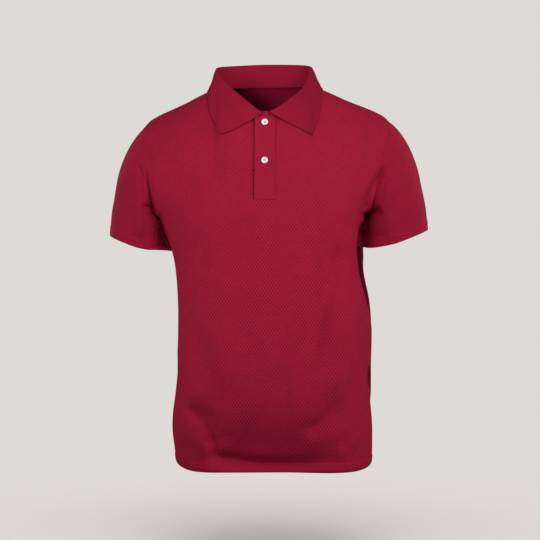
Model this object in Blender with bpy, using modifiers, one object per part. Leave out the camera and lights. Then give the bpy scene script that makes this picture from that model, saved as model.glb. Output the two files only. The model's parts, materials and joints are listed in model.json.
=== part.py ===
"""Short-sleeved knitted polo shirt, filled out as if worn, hollow, hanging from its shoulders.

Frame: metres, +Z up, the front faces -Y, +X is the wearer's left. The origin is the middle of the
neck base, level with the points where the shoulder seams meet the collar, and that is where a
wearer's shoulders carry the shirt.

Every cloth piece is an open surface lofted through sections and thickened into a wall: the body
panels through rings from the hem to the armhole level and then through columns that run up to the
shoulder seam and the neckline, the sleeves through rings from the armhole to the cuff, and the
collar through folded sections round the neck. The tables and functions give the inner face of a
wall, which is thickened outwards, so that neighbouring pieces keep apart along every convex seam.
The collar's sections lie on the middle of its wall.
"""

import math

import bmesh
import bpy
import numpy as np
from mathutils import Vector
from mathutils.bvhtree import BVHTree

# ------------------------------------------------------------------------------ driving sizes
WALL = 0.0015  # body and sleeve knit
BAND_WALL = 0.0021  # collar, placket, cuff and hem bands: a denser double knit
GAP = 0.0003  # between neighbouring pieces at a seam

HEM_Z = -0.706  # lower edge of the shirt below the neck base
HEM_SIDE_RISE = 0.0100  # the hem curves up towards the side seams
HEM_DIP = 0.0020  # and hangs a little lower at the middle
HEM_BAND = 0.016  # height of the plain band round the hem
CUFF_BAND = 0.016  # height of the plain band round each sleeve end
SEAM_STRIP = 0.004  # a narrow row of faces beside a seam, so that the two pieces agree there
HALF_PANEL = 0.244  # width of half a panel at chest level, along the cloth
ARMPIT_Z = -0.240

NECK_HALF_WIDTH = 0.083
NECK_FRONT = 0.097  # the neckline's reach forward and back of the side seam plane
NECK_BACK = 0.072
NECK_FRONT_DROP = 0.0635
NECK_BACK_RISE = 0.004
SHOULDER_Y = 0.003
NECK_U = 0.35  # share of a half panel's width that ends at the neckline

PLACKET_HALF_WIDTH = 0.0175
PLACKET_END_Z = -0.2138
PLACKET_PROUD = 0.0003  # inner face of the upper placket above the panel's inner face

BUTTON_RADIUS = 0.0059
BUTTON_THICK = 0.0026
BUTTON_Z = (-0.0748, -0.1438)
BUTTON_HOLE_RADIUS = 0.0008
BUTTON_HOLE_OFFSET = 0.0014

ROLL_RADIUS = 0.0027  # the collar's fold, on the middle of its wall
COLLAR_LIFT = 0.0029  # the middle of the collar's lower edge above the panels' inner edge
COLLAR_LEAN = 0.0048  # how far the collar's front ends are turned towards +X
LEAF_CLEAR = 0.0050  # the middle of the leaf above the panels' inner face: both walls' share and a gap

CUFF_Y, CUFF_Z = -0.0040, -0.2862  # middle of each cuff opening
CUFF_LENGTHWISE = (-0.0110, 0.0143)  # y and z of its half axis towards its outer side
CUFF_FORWARD = (0.0, -0.0530, -0.0098)  # half axis towards its front

# The two sleeves differ a little in how they hang.
SLEEVES = {
    # name: (side, middle of the cuff from the middle plane, half width of the cuff)
    "left": (1, 0.2372, 0.0570),
    "right": (-1, 0.2360, 0.0525),
}

# Rings of the body below the armholes. sides_x moves the two sides along while the middle of the
# front and back stay, and squareness is the exponent of the ring's superellipse.
TORSO = np.array([
    # z,     sides_x, half_width, front, back, squareness
    (-0.7150, 0.0125, 0.1800, 0.1030, 0.1080, 2.45),
    (-0.6900, 0.0123, 0.1815, 0.1010, 0.1085, 2.45),
    (-0.6600, 0.0115, 0.1825, 0.1040, 0.1100, 2.45),
    (-0.6250, 0.0108, 0.1828, 0.1125, 0.1120, 2.45),
    (-0.5800, 0.0105, 0.1805, 0.1195, 0.1110, 2.45),
    (-0.5300, 0.0110, 0.1785, 0.1220, 0.1080, 2.45),
    (-0.4700, 0.0140, 0.1780, 0.1225, 0.1050, 2.45),
    (-0.4000, 0.0126, 0.1762, 0.1225, 0.1060, 2.45),
    (-0.3520, 0.0060, 0.1732, 0.1235, 0.1100, 2.45),
    (-0.3220, 0.0018, 0.1733, 0.1240, 0.1130, 2.45),
    (-0.3000, -0.0015, 0.1755, 0.1246, 0.1150, 2.45),
    (-0.2800, -0.0042, 0.1800, 0.1250, 0.1170, 2.45),
    (-0.2600, -0.0062, 0.1850, 0.1255, 0.1185, 2.45),
    (-0.2400, -0.0070, 0.1915, 0.1258, 0.1190, 2.45),
    (-0.2200, -0.0070, 0.1950, 0.1258, 0.1190, 2.45),
])

# The seam line of each armhole from the armpit to the shoulder. The +X armhole lies lean nearer the
# middle than x, and the -X one lean farther out.
ARMHOLE_FRONT = np.array([
    # x,      y,       z,       lean
    (0.1915, 0.0000, -0.2400, 0.0070),
    (0.1985, -0.0290, -0.2340, 0.0070),
    (0.2030, -0.0500, -0.2150, 0.0060),
    (0.2070, -0.0610, -0.1870, 0.0040),
    (0.2095, -0.0590, -0.1520, 0.0010),
    (0.2145, -0.0430, -0.1160, -0.0010),
    (0.2230, -0.0190, -0.0860, 0.0000),
    (0.2265, 0.0030, -0.0735, 0.0000),
])
ARMHOLE_BACK = np.array([
    # x,      y,       z,       lean
    (0.1915, 0.0000, -0.2400, 0.0070),
    (0.1980, 0.0310, -0.2320, 0.0070),
    (0.2025, 0.0530, -0.2110, 0.0065),
    (0.2060, 0.0650, -0.1810, 0.0040),
    (0.2085, 0.0640, -0.1460, 0.0010),
    (0.2140, 0.0490, -0.1120, -0.0010),
    (0.2225, 0.0250, -0.0860, 0.0000),
    (0.2265, 0.0030, -0.0735, 0.0000),
])

# The ridge of the shoulder from the neck to the armhole.
SHOULDER = np.array([
    # x,      z
    (0.0830, 0.0000),
    (0.0950, -0.0060),
    (0.1100, -0.0130),
    (0.1250, -0.0200),
    (0.1465, -0.0305),
    (0.1760, -0.0430),
    (0.2020, -0.0545),
    (0.2175, -0.0640),
    (0.2265, -0.0735),
])

# How the sleeve leaves the armhole and how it arrives at the cuff, once round from the shoulder.
SLEEVE_AIM = np.array([
    # round,  out_x,   out_y,  out_z,   in_x,    in_y,    in_z
    (0.000, 0.1620, 0.0000, -0.1480, 0.0160, 0.0000, -0.2000),
    (0.125, 0.1500, -0.0350, -0.1500, 0.0150, -0.0050, -0.1800),
    (0.250, 0.0900, -0.0300, -0.1350, 0.0120, -0.0080, -0.1300),
    (0.375, 0.0450, -0.0150, -0.0900, 0.0060, -0.0040, -0.0900),
    (0.500, -0.0110, 0.0000, -0.0620, -0.0150, 0.0000, -0.0620),
    (0.625, 0.0450, 0.0200, -0.0900, 0.0060, 0.0020, -0.0900),
    (0.750, 0.0900, 0.0350, -0.1350, 0.0120, 0.0020, -0.1300),
    (0.875, 0.1500, 0.0400, -0.1500, 0.0150, 0.0020, -0.1800),
    (1.000, 0.1620, 0.0000, -0.1480, 0.0160, 0.0000, -0.2000),
])

# Which way the body's cloth faces along the armhole, and how far the sleeve starts off its inner face:
# past the whole of its wall where the two turn towards each other.
ARMHOLE_FACING = (
    # round, x,    y,     z,     lift
    (0.000, 0.60, 0.00, 0.80, 0.0000),
    (0.100, 0.62, -0.40, 0.65, 0.0016),
    (0.200, 0.60, -0.75, 0.25, 0.0030),
    (0.300, 0.60, -0.80, 0.00, 0.0034),
    (0.400, 0.80, -0.60, 0.00, 0.0036),
    (0.500, 1.00, 0.00, 0.00, 0.0038),
    (0.600, 0.80, 0.60, 0.00, 0.0036),
    (0.700, 0.60, 0.80, 0.00, 0.0034),
    (0.800, 0.60, 0.75, 0.25, 0.0028),
    (0.900, 0.62, 0.40, 0.65, 0.0018),
    (1.000, 0.60, 0.00, 0.80, 0.0000),
)

# The collar's fold line and the edge of its leaf, from the front end to the middle of the back.
COLLAR = np.array([
    # round, roll_x, roll_y,  roll_z,  edge_x, edge_y,  edge_z
    (0.000, 0.0055, -0.1005, -0.0585, 0.0790, -0.1040, -0.0975),
    (0.100, 0.0310, -0.0905, -0.0385, 0.0900, -0.0965, -0.0740),
    (0.200, 0.0545, -0.0700, -0.0165, 0.0985, -0.0830, -0.0530),
    (0.320, 0.0750, -0.0400, 0.0040, 0.1035, -0.0560, -0.0330),
    (0.440, 0.0865, -0.0100, 0.0200, 0.1055, -0.0190, -0.0155),
    (0.560, 0.0885, 0.0180, 0.0300, 0.1040, 0.0210, -0.0065),
    (0.680, 0.0780, 0.0440, 0.0365, 0.0950, 0.0560, -0.0020),
    (0.840, 0.0450, 0.0670, 0.0410, 0.0570, 0.0840, 0.0010),
    (1.000, 0.0000, 0.0745, 0.0425, 0.0000, 0.0935, 0.0020),
])

# Soft troughs (negative) and ridges (positive) of the hanging cloth, as seen from the front or back.
FOLDS = [
    # panel,   from_x,  from_z,  to_x,    to_z,   depth,   width
    ("front", -0.132, -0.575, -0.060, -0.672, -0.0080, 0.024),
    ("front", -0.150, -0.610, -0.098, -0.690, 0.0060, 0.026),
    ("front", -0.140, -0.390, -0.128, -0.560, -0.0035, 0.026),
    ("front", 0.118, -0.320, 0.070, -0.560, -0.0050, 0.030),
    ("front", 0.172, -0.450, 0.100, -0.580, 0.0040, 0.026),
    ("front", 0.140, -0.565, 0.095, -0.625, -0.0045, 0.022),
    ("front", -0.040, -0.685, 0.100, -0.680, -0.0050, 0.024),
    ("back", 0.120, -0.330, 0.040, -0.520, -0.0050, 0.030),
    ("back", -0.125, -0.360, -0.050, -0.560, -0.0045, 0.030),
    ("back", 0.150, -0.560, 0.080, -0.680, 0.0045, 0.030),
    ("back", -0.020, -0.480, 0.010, -0.690, -0.0040, 0.035),
]

# The stance of the hanging shirt: its middle line is a little to one side and one shoulder hangs lower.
STANCE = np.array([
    # z,     middle_x, tilt
    (-0.710, 0.0020, 0.000),
    (-0.600, 0.0020, 0.002),
    (-0.470, 0.0020, 0.006),
    (-0.400, 0.0020, 0.010),
    (-0.340, 0.0020, 0.014),
    (-0.280, 0.0020, 0.017),
    (-0.150, 0.0020, 0.017),
    (-0.070, 0.0015, 0.017),
    (0.000, -0.0020, 0.015),
    (0.060, -0.0040, 0.010),
])

# Where the walls of the panels get their columns and rows.
FRONT_COLUMNS = (0.14, 0.21, 0.28, 0.35, 0.46, 0.58, 0.70, 0.82, 0.94)
BACK_COLUMNS = (0.08, 0.16, 0.25, 0.35, 0.46, 0.58, 0.70, 0.82, 0.94)
LOWER_ROWS = (-0.655, -0.615, -0.575, -0.53, -0.475, -0.42, -0.37, -0.325, -0.285, -0.255)
UPPER_ROWS = (0.15, 0.27, 0.39, 0.51, 0.63, 0.75, 0.85, 0.93)
SLEEVE_ROUND = 26
SLEEVE_SHARES = (0.0, 0.1, 0.22, 0.36, 0.51, 0.68, 0.85)
COLLAR_COLUMNS = 36

COLOURS = {
    "knit": ((0.33, 0.012, 0.036), 0.82),
    "rib": ((0.35, 0.013, 0.039), 0.78),
    "button": ((0.86, 0.87, 0.87), 0.30),
}


# ------------------------------------------------------------------------------ curves
def spline(knots, values, at):
    """Values between the rows of a table, on a smooth curve through them (cubic, with secant tangents)."""
    knots, values = np.asarray(knots, float), np.asarray(values, float)
    if values.ndim == 1:
        values = values[:, None]
    slope = np.gradient(values, knots, axis=0)
    at = np.clip(np.asarray(at, float), knots[0], knots[-1])
    i = np.clip(np.searchsorted(knots, at, side="right") - 1, 0, len(knots) - 2)
    h = (knots[i + 1] - knots[i])[..., None]
    t = ((at - knots[i])[..., None]) / h
    return (
        (2 * t**3 - 3 * t**2 + 1) * values[i]
        + (t**3 - 2 * t**2 + t) * h * slope[i]
        + (3 * t**2 - 2 * t**3) * values[i + 1]
        + (t**3 - t**2) * h * slope[i + 1]
    )


def hermite(p0, t0, p1, t1, t):
    t = np.asarray(t, float)[..., None]
    return (
        (2 * t**3 - 3 * t**2 + 1) * p0
        + (t**3 - 2 * t**2 + t) * t0
        + (3 * t**2 - 2 * t**3) * p1
        + (t**3 - t**2) * t1
    )


def smoothstep(t):
    t = np.clip(t, 0.0, 1.0)
    return t * t * (3 - 2 * t)


def lengths(points):
    """Running length along a line of points, from 0 to 1, and the whole length."""
    run = np.concatenate([[0.0], np.cumsum(np.linalg.norm(np.diff(points, axis=0), axis=1))])
    return run / run[-1], run[-1]


def along(points, at):
    """Points at shares of a line's length, on a smooth curve through its own points."""
    dense = spline(lengths(points[:, :3])[0], points, np.linspace(0, 1, 400))
    share = lengths(dense[:, :3])[0]
    return np.stack([np.interp(at, share, dense[:, k]) for k in range(points.shape[1])], axis=-1)


def unit(v):
    return v / np.maximum(np.linalg.norm(v, axis=-1, keepdims=True), 1e-12)


# ------------------------------------------------------------------------------ the body's form
def ring_point(side, u, z):
    """Inner face of the body below the armholes. side is -1 for the front and +1 for the back; u runs
    from -1 at the -X side seam through 0 at the middle to +1 at the +X side seam, by length of cloth."""
    middle, half, front, back, square = spline(TORSO[:, 0], TORSO[:, 1:], np.array([z]))[0]
    depth = front if side < 0 else back
    angle = np.linspace(0, math.pi / 2, 241)
    x = half * np.sin(angle) ** (2 / square)
    y = depth * np.cos(angle) ** (2 / square)
    share = lengths(np.stack([x, y], axis=1))[0]
    a = np.abs(u)
    level = z + (HEM_SIDE_RISE * smoothstep((a - 0.62) / 0.38) - HEM_DIP * np.cos(a * math.pi / 2) ** 2) * smoothstep((HEM_Z + 0.08 - z) / 0.08)
    return np.stack(
        [middle * smoothstep(a / 0.7) + np.sign(u) * np.interp(a, share, x), side * np.interp(a, share, y), level],
        axis=-1,
    )


def neckline(side, phi):
    """The neckline at an angle from the middle of this side to the shoulder point, on the +X half."""
    reach = NECK_FRONT if side < 0 else NECK_BACK
    level = -NECK_FRONT_DROP * np.cos(phi) ** 1.7 if side < 0 else NECK_BACK_RISE * np.cos(phi) ** 0.8
    y = SHOULDER_Y + (side * reach - SHOULDER_Y) * np.cos(phi)
    return np.stack([NECK_HALF_WIDTH * np.sin(phi), y, level], axis=-1)


def placket_u():
    """The share of the half panel's width that the placket covers at armhole level."""
    edge = ring_point(-1, np.linspace(0, 0.2, 400), ARMPIT_Z)[:, 0]
    return float(np.interp(PLACKET_HALF_WIDTH, edge - edge[0], np.linspace(0, 0.2, 400)))


PLACKET_U = placket_u()


def top_boundary(side, u):
    """Where the column at u ends: on the neckline up to NECK_U, and on the shoulder seam beyond."""
    a = np.abs(u)
    dense = np.linspace(0, math.pi / 2, 600)
    line = neckline(side, dense)
    share = lengths(line)[0]
    pinned = float(np.interp(PLACKET_HALF_WIDTH, line[:, 0], share)) if side < 0 else PLACKET_U / NECK_U
    knot = PLACKET_U
    t = np.where(a <= knot, a / knot * pinned, pinned + (a - knot) / (NECK_U - knot) * (1 - pinned))
    phi = np.interp(np.clip(t, 0, 1), share, dense)
    neck = neckline(side, phi)
    run = np.clip((a - NECK_U) / (1 - NECK_U), 0, 1)
    x = NECK_HALF_WIDTH + (SHOULDER[-1, 0] - NECK_HALF_WIDTH) * run
    shoulder = np.stack([x, np.full(np.shape(x), SHOULDER_Y), spline(SHOULDER[:, 0], SHOULDER[:, 1], x)[..., 0]], axis=-1)
    point = np.where((a <= NECK_U)[..., None], neck, shoulder)
    point[..., 0] *= np.sign(u) + (u == 0)
    return point, phi


def column_point(side, u, w):
    """Inner face of the body above the armhole level, w from 0 there to 1 at the neckline and shoulder."""
    u = np.asarray(u, float)
    foot = ring_point(side, u, ARMPIT_Z)
    head, phi = top_boundary(side, u)
    a = np.abs(u)
    over = np.sin(np.where(a <= NECK_U, phi, math.pi / 2)) ** 1.4
    outward = smoothstep((a - NECK_U) / (1 - NECK_U))
    rise = np.zeros(u.shape + (3,))
    rise[..., 2] = 0.30 - 0.10 * outward
    if side < 0:
        reach = np.stack([0 * a, 0.035 + over * (0.185 - 0.06 * outward), 0.150 - over * 0.140], axis=-1)
    else:
        reach = np.stack([0 * a, -0.085 - over * (0.115 - 0.05 * outward), 0.135 - over * 0.125], axis=-1)
    point = hermite(foot, rise, head, reach, np.full(u.shape, w))
    # Towards the armhole the columns follow its seam line, on each side its own.
    table = ARMHOLE_FRONT if side < 0 else ARMHOLE_BACK
    line = along(table, np.array([w]))[0]
    rise, reach = np.array([0, 0, 0.20]), np.array([0, -side * 0.155, 0.010])
    for hand in (-1, 1):
        foot = ring_point(side, np.array([hand * 1.0]), ARMPIT_Z)[0]
        head = top_boundary(side, np.array([hand * 1.0]))[0][0]
        plain = hermite(foot, rise, head, reach, np.array(w))
        seam = np.array([hand * (line[0] - hand * line[3]), line[1], line[2]])
        pull = smoothstep((hand * u - 0.45) / 0.55) ** 1.15
        point = point + (seam - plain) * pull[..., None]
    return point


def folded(side, points, normals):
    """The body's points moved along their normals by the folds of their panel."""
    name = "front" if side < 0 else "back"
    moved = np.zeros(points.shape[:-1])
    for panel, x0, z0, x1, z1, depth, width in FOLDS:
        if panel != name:
            continue
        start, run = np.array([x0, z0]), np.array([x1 - x0, z1 - z0])
        here = points[..., [0, 2]] - start
        s = np.clip((here @ run) / (run @ run), 0, 1)
        away = np.linalg.norm(here - s[..., None] * run, axis=-1)
        moved += depth * np.exp(-((away / width) ** 2)) * (0.35 + 0.65 * np.sin(math.pi * s))
    fade = smoothstep((-0.16 - points[..., 2]) / 0.08) * smoothstep((points[..., 2] - HEM_Z + 0.03) / 0.04)
    seam = smoothstep(np.abs(points[..., 1]) / 0.045)
    return points + normals * (moved * fade * seam)[..., None]


def posed(points):
    """The stance of the whole shirt."""
    drift = spline(STANCE[:, 0], STANCE[:, 1:], points[..., 2])
    out = points.copy()
    out[..., 0] += drift[..., 0]
    out[..., 2] += drift[..., 1] * points[..., 0]
    return out


def grid_normals(grid, closed=False):
    """Outward unit normals of a grid of points, rows first."""
    if closed:
        wide = np.concatenate([grid[:, -2:-1], grid, grid[:, 1:2]], axis=1)
        across = np.gradient(wide, axis=1)[:, 1:-1]
    else:
        across = np.gradient(grid, axis=1)
    return unit(np.cross(across, np.gradient(grid, axis=0)))


def outward(grid, normals, closed=False):
    """Turns normals so that they point away from the shirt's inside, or out of a closed tube."""
    if closed:
        middle = grid[:, :-1].mean(axis=1, keepdims=True)
    else:
        middle = np.stack([0 * grid[..., 0], 0 * grid[..., 1], np.minimum(grid[..., 2], -0.10)], axis=-1)
    return normals if np.einsum("ijk,ijk->", normals, grid - middle) > 0 else -normals


def panel_columns(side):
    inner = ((PLACKET_U,) + FRONT_COLUMNS) if side < 0 else BACK_COLUMNS
    half = np.array(inner + (1.0,))
    return np.concatenate([-half[::-1], [0.0], half])


def placket_row():
    """The row of columns that starts the placket."""
    rows = np.linspace(0.0, 0.3, 301)
    heights = [column_point(-1, np.array([0.0]), w)[0, 2] for w in rows]
    return float(np.interp(PLACKET_END_Z, heights, rows))


PLACKET_W = placket_row()


def panel_grid(side, columns, lower, upper):
    """Points of a body panel with rows at the heights in lower and then at the shares in upper."""
    rows = [ring_point(side, columns, z) for z in lower]
    rows += [column_point(side, columns, w) for w in upper]
    return np.array(rows)


def seam_columns(side):
    """A panel's columns, drawn in from the side seams by half a gap, with a narrow strip beside them."""
    columns = panel_columns(side)
    last = 1 - GAP / 2 / HALF_PANEL
    return np.sign(columns) * np.minimum(np.abs(columns), last)


def body_panel(side, hem_z):
    """Points and normals of a whole body panel before its folds, its columns and its upper rows."""
    columns = seam_columns(side)
    upper = [0.0] + sorted(UPPER_ROWS + (PLACKET_W,)) + [1.0]
    upper[-1] = 1 - GAP / 2 / 0.22
    grid = panel_grid(side, columns, (hem_z, hem_z + SEAM_STRIP) + LOWER_ROWS, upper)
    return grid, outward(grid, grid_normals(grid)), columns, upper


# ------------------------------------------------------------------------------ the sleeves
def armhole_loop(q, hand):
    """The armhole seam once round from the shoulder: forward and down to the armpit at 0.5, and up the back."""
    q = np.asarray(q, float)
    front = along(ARMHOLE_FRONT, 1 - np.clip(q * 2, 0, 1))
    back = along(ARMHOLE_BACK, np.clip(q * 2 - 1, 0, 1))
    line = np.where((q <= 0.5)[..., None], front, back)
    line[..., 0] -= hand * line[..., 3]
    return line[..., :3]


def body_facing(q):
    """The body's outward direction along the armhole, from the shoulder round to the shoulder."""
    table = np.array(ARMHOLE_FACING)
    return unit(spline(table[:, 0], table[:, 1:4], q)), spline(table[:, 0], table[:, 4], q)[..., 0]


def sleeve_column(q, t, name):
    """A line down a sleeve, as if it were the +X one: q is its place round, t runs from armhole to cuff edge."""
    hand, middle, half = SLEEVES[name]
    facing, lift = body_facing(q)
    start = armhole_loop(q, hand) + facing * lift[..., None]
    turn = 2 * math.pi * q
    across = np.array([half, *CUFF_LENGTHWISE])
    end = (
        np.array([middle, CUFF_Y, CUFF_Z])
        + np.cos(turn)[..., None] * across
        + np.sin(turn)[..., None] * np.array(CUFF_FORWARD)
    )
    aim = spline(SLEEVE_AIM[:, 0], SLEEVE_AIM[:, 1:], q)
    return hermite(start, aim[..., :3], end, aim[..., 3:], t)


def sleeve_rings(name, start, end, shares):
    """Rings of the sleeve between distances measured along its cloth: start from the armhole, and end
    back from the cuff edge. Without shares, the rings are those of the cuff band."""
    q = np.linspace(0, 1, SLEEVE_ROUND + 1)
    t = np.linspace(0, 1, 240)
    rings = []
    for turn in q:
        line = sleeve_column(np.full(t.shape, turn), t, name)
        share, whole = lengths(line)
        if shares is None:
            want = 1 - np.array([CUFF_BAND, CUFF_BAND - SEAM_STRIP, CUFF_BAND / 2, 0.0]) / whole
        else:
            first, last = start / whole, 1 - end / whole
            want = np.append(first + (last - first) * np.array(shares), (last - SEAM_STRIP / whole, last))
            want.sort()
        rings.append(np.stack([np.interp(want, share, line[:, k]) for k in range(3)], axis=-1))
    rings[-1] = rings[0]
    return np.array(rings).transpose(1, 0, 2)


# ------------------------------------------------------------------------------ building meshes
def material(name, key):
    made = bpy.data.materials.new(name)
    made.use_nodes = True
    colour, rough = COLOURS[key]
    shader = made.node_tree.nodes["Principled BSDF"]
    shader.inputs["Base Color"].default_value = (*colour, 1.0)
    shader.inputs["Roughness"].default_value = rough
    shader.inputs["Metallic"].default_value = 0.0
    made.diffuse_color = (*colour, 1.0)
    return made


def add_object(name, mesh, key, origin):
    mesh.materials.append(material(name + "_finish", key))
    made = bpy.data.objects.new(name, mesh)
    shirt.objects.link(made)
    made.parent = hanger_point
    made.location = origin
    return made


def cloth(name, grid, key, thickness, closed=False, window=None, offset=1.0):
    """A piece of cloth: an open surface through a grid of points, given its thickness by Solidify.
    closed joins the last column to the first, and window, as (first row, first column, last column),
    leaves that cut-out open up to the last row."""
    grid = posed(grid)
    middle = grid.reshape(-1, 3).mean(axis=0).round(3)
    rows, columns = grid.shape[:2]
    count = columns - 1 if closed else columns
    bm = bmesh.new()
    verts = [[bm.verts.new(grid[r, c] - middle) for c in range(count)] for r in range(rows)]
    for r in range(rows - 1):
        for c in range(columns - 1):
            if window is None or r < window[0] or not window[1] <= c < window[2]:
                d = (c + 1) % count
                bm.faces.new([verts[r][c], verts[r][d], verts[r + 1][d], verts[r + 1][c]])
    bmesh.ops.delete(bm, geom=[v for v in bm.verts if not v.link_faces], context="VERTS")
    bmesh.ops.recalc_face_normals(bm, faces=bm.faces)
    normals = outward(grid, grid_normals(grid, closed), closed)
    bm.faces.ensure_lookup_table()
    if bm.faces[0].normal.dot(Vector(normals[:2, :2].mean(axis=(0, 1)))) < 0:
        bmesh.ops.reverse_faces(bm, faces=bm.faces)
    mesh = bpy.data.meshes.new(name)
    bm.to_mesh(mesh)
    bm.free()
    mesh.shade_smooth()
    piece = add_object(name, mesh, key, middle)
    wall = piece.modifiers.new("thickness", "SOLIDIFY")
    wall.thickness, wall.offset, wall.use_rim = thickness, offset, True
    return piece


# ------------------------------------------------------------------------------ the scene
for old in list(bpy.data.objects):
    bpy.data.objects.remove(old, do_unlink=True)

shirt = bpy.data.collections.new("polo_shirt")
cutters = bpy.data.collections.new("cutters")
bpy.context.scene.collection.children.link(shirt)
bpy.context.scene.collection.children.link(cutters)
hanger_point = bpy.data.objects.new("neck_base", None)
shirt.objects.link(hanger_point)

PANEL_HEM_Z = HEM_Z + HEM_BAND

# The front and back panels, with the placket's cut-out in the front.
for side, name in ((-1, "front_panel"), (1, "back_panel")):
    grid, normals, columns, upper = body_panel(side, PANEL_HEM_Z + GAP)
    window = None
    if side < 0:
        first = len(grid) - len(upper) + upper.index(PLACKET_W)
        middle = len(columns) // 2
        window = (first, middle - 1, middle + 1)
    cloth(name, folded(side, grid, normals), "knit", WALL, window=window)

# Hem bands continue the panels below the seam line.
for side, name in ((-1, "hem_band_front"), (1, "hem_band_back")):
    columns = seam_columns(side)
    grid = panel_grid(side, columns, (HEM_Z, HEM_Z + HEM_BAND * 0.5, PANEL_HEM_Z - SEAM_STRIP, PANEL_HEM_Z), ())
    cloth(name, folded(side, grid, outward(grid, grid_normals(grid))), "rib", BAND_WALL)

# Sleeves and their cuff bands, on both sides.
for name, (hand, middle, half) in SLEEVES.items():
    flip = np.array([hand, 1, 1])
    cloth(f"sleeve_{name}", sleeve_rings(name, GAP, CUFF_BAND + GAP, SLEEVE_SHARES) * flip, "knit", WALL, closed=True)
    cloth(f"cuff_band_{name}", sleeve_rings(name, 0.0, 0.0, None) * flip, "rib", BAND_WALL, closed=True)


# ------------------------------------------------------------------------------ placket
def placket_strip(columns, shares, proud):
    """A strip on the front panel's own surface, moved out along it, and the way it faces."""
    grid = panel_grid(-1, np.array(columns), (), shares)
    normals = outward(grid, grid_normals(grid))
    return folded(-1, grid, normals) + normals * proud, normals


edge = PLACKET_U - GAP / HALF_PANEL
end_row = 1 - GAP / 0.2
panel_rows = tuple(w for w in UPPER_ROWS if w > PLACKET_W)
top_rows = (PLACKET_W + 0.0015,) + panel_rows + (end_row,)
under_rows = (PLACKET_W - 0.03, PLACKET_W) + panel_rows + (end_row,)
strip, _ = placket_strip((-edge, -edge / 2, 0.0, edge / 2, edge), top_rows, PLACKET_PROUD)
cloth("placket_top", strip, "rib", BAND_WALL)
strip, _ = placket_strip((-PLACKET_U - 0.016, -PLACKET_U, 0.0, PLACKET_U - 0.004), under_rows, -WALL - 2 * GAP)
cloth("placket_under", strip, "rib", WALL)


# ------------------------------------------------------------------------------ collar
def collar_sections(columns, stand_rows, roll_rows, leaf_rows):
    """Folded sections round the neck on the middle of the collar's wall, from the +X front end, round the back."""
    t = np.linspace(0, 1, columns // 2 + 1) ** 1.45
    table = spline(COLLAR[:, 0], COLLAR[:, 1:], t)
    roll, edge_line = table[:, :3], table[:, 3:]
    lean = COLLAR_LEAN * (1 - smoothstep(t / 0.38))
    # The seam runs on the neckline, from the collar's end near the middle of the front to the back.
    phi = np.linspace(0, math.pi / 2, 300)
    path = np.concatenate([neckline(-1, phi), neckline(1, phi[::-1])[1:]])
    share = lengths(path)[0]
    first = float(np.interp(COLLAR[0, 1], path[:300, 0], share[:300]))
    # Each section's seam point is the one beside its fold line, found by its angle round the neck.
    angle_path = np.arctan2(path[:, 0], -path[:, 1])
    angle_roll = np.arctan2(roll[:, 0], -roll[:, 1])
    seam_share = np.interp(angle_roll, angle_path, share)
    seam_share[0], seam_share[-1] = first, 1.0
    seam = np.stack([np.interp(seam_share, share, path[:, k]) for k in range(3)], axis=-1)
    seam[:, 2] += COLLAR_LIFT
    run = np.gradient(roll, axis=0)
    run[0] = run[1] * 0.5 + run[0] * 0.5
    flat = np.stack([run[:, 1], -run[:, 0], 0 * run[:, 0]], axis=-1)
    out = unit(flat)
    out *= np.sign(np.einsum("ij,ij->i", out, roll * np.array([1, 1, 0])))[:, None]
    out[-1] = (0, 1, 0)
    sections = []
    for k in range(len(t)):
        inside = roll[k] - out[k] * ROLL_RADIUS
        outside = roll[k] + out[k] * ROLL_RADIUS
        lift = np.array([0, 0, ROLL_RADIUS])
        stand = [seam[k] - out[k] * 0.0012 + (inside - seam[k] + out[k] * 0.0012) * s for s in np.linspace(0, 1, stand_rows + 1)]
        arc = [roll[k] - out[k] * ROLL_RADIUS * math.cos(a) + lift * math.sin(a) for a in np.linspace(0, math.pi, roll_rows + 2)[1:-1]]
        drop = edge_line[k] - outside
        crown = 0.0018 * math.sin(math.pi * min(1.0, 0.25 + t[k]))
        leaf = [
            outside + drop * s + out[k] * crown * math.sin(math.pi * s) * (1 - 0.5 * s)
            for s in np.linspace(0, 1, leaf_rows + 1)
        ]
        sections.append(stand + arc + leaf)
    half = np.array(sections)
    other = half[-2::-1] * np.array([-1, 1, 1])
    whole = np.concatenate([half, other])
    share = np.clip((np.arange(whole.shape[1]) - 1) / 2, 0, 1)
    whole[:, :, 0] += np.concatenate([lean, lean[-2::-1]])[:, None] * share
    return whole


def laid_on_panels(points, first_row):
    """The leaf's rows lie on the shoulders and chest: points nearer than LEAF_CLEAR are moved out to it."""
    verts, faces = [], []
    for side in (-1, 1):
        grid, normals, columns, upper = body_panel(side, PANEL_HEM_Z + GAP)
        start = len(verts)
        rows, wide = grid.shape[:2]
        verts += [Vector(v) for v in grid.reshape(-1, 3)]
        for r in range(rows - 1):
            for c in range(wide - 1):
                a = start + r * wide + c
                ring = (a, a + 1, a + wide + 1, a + wide)
                faces.append(ring if side < 0 else ring[::-1])
    tree = BVHTree.FromPolygons(verts, faces)
    laid = points.copy()
    for again in range(4):
        for c in range(points.shape[0]):
            for r in range(first_row, points.shape[1]):
                place, way, _, _ = tree.find_nearest(Vector(laid[c, r]))
                height = (Vector(laid[c, r]) - place).dot(way)
                if height < LEAF_CLEAR or (r == points.shape[1] - 1 and again < 3):
                    laid[c, r] += np.array(way) * (LEAF_CLEAR - height)
        if again < 3:
            laid[1:-1, first_row:] = 0.5 * laid[1:-1, first_row:] + 0.25 * (laid[:-2, first_row:] + laid[2:, first_row:])
    return laid


collar = laid_on_panels(collar_sections(COLLAR_COLUMNS, 3, 3, 7), 8)
cloth("collar", collar, "rib", BAND_WALL, offset=0.0)


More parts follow.
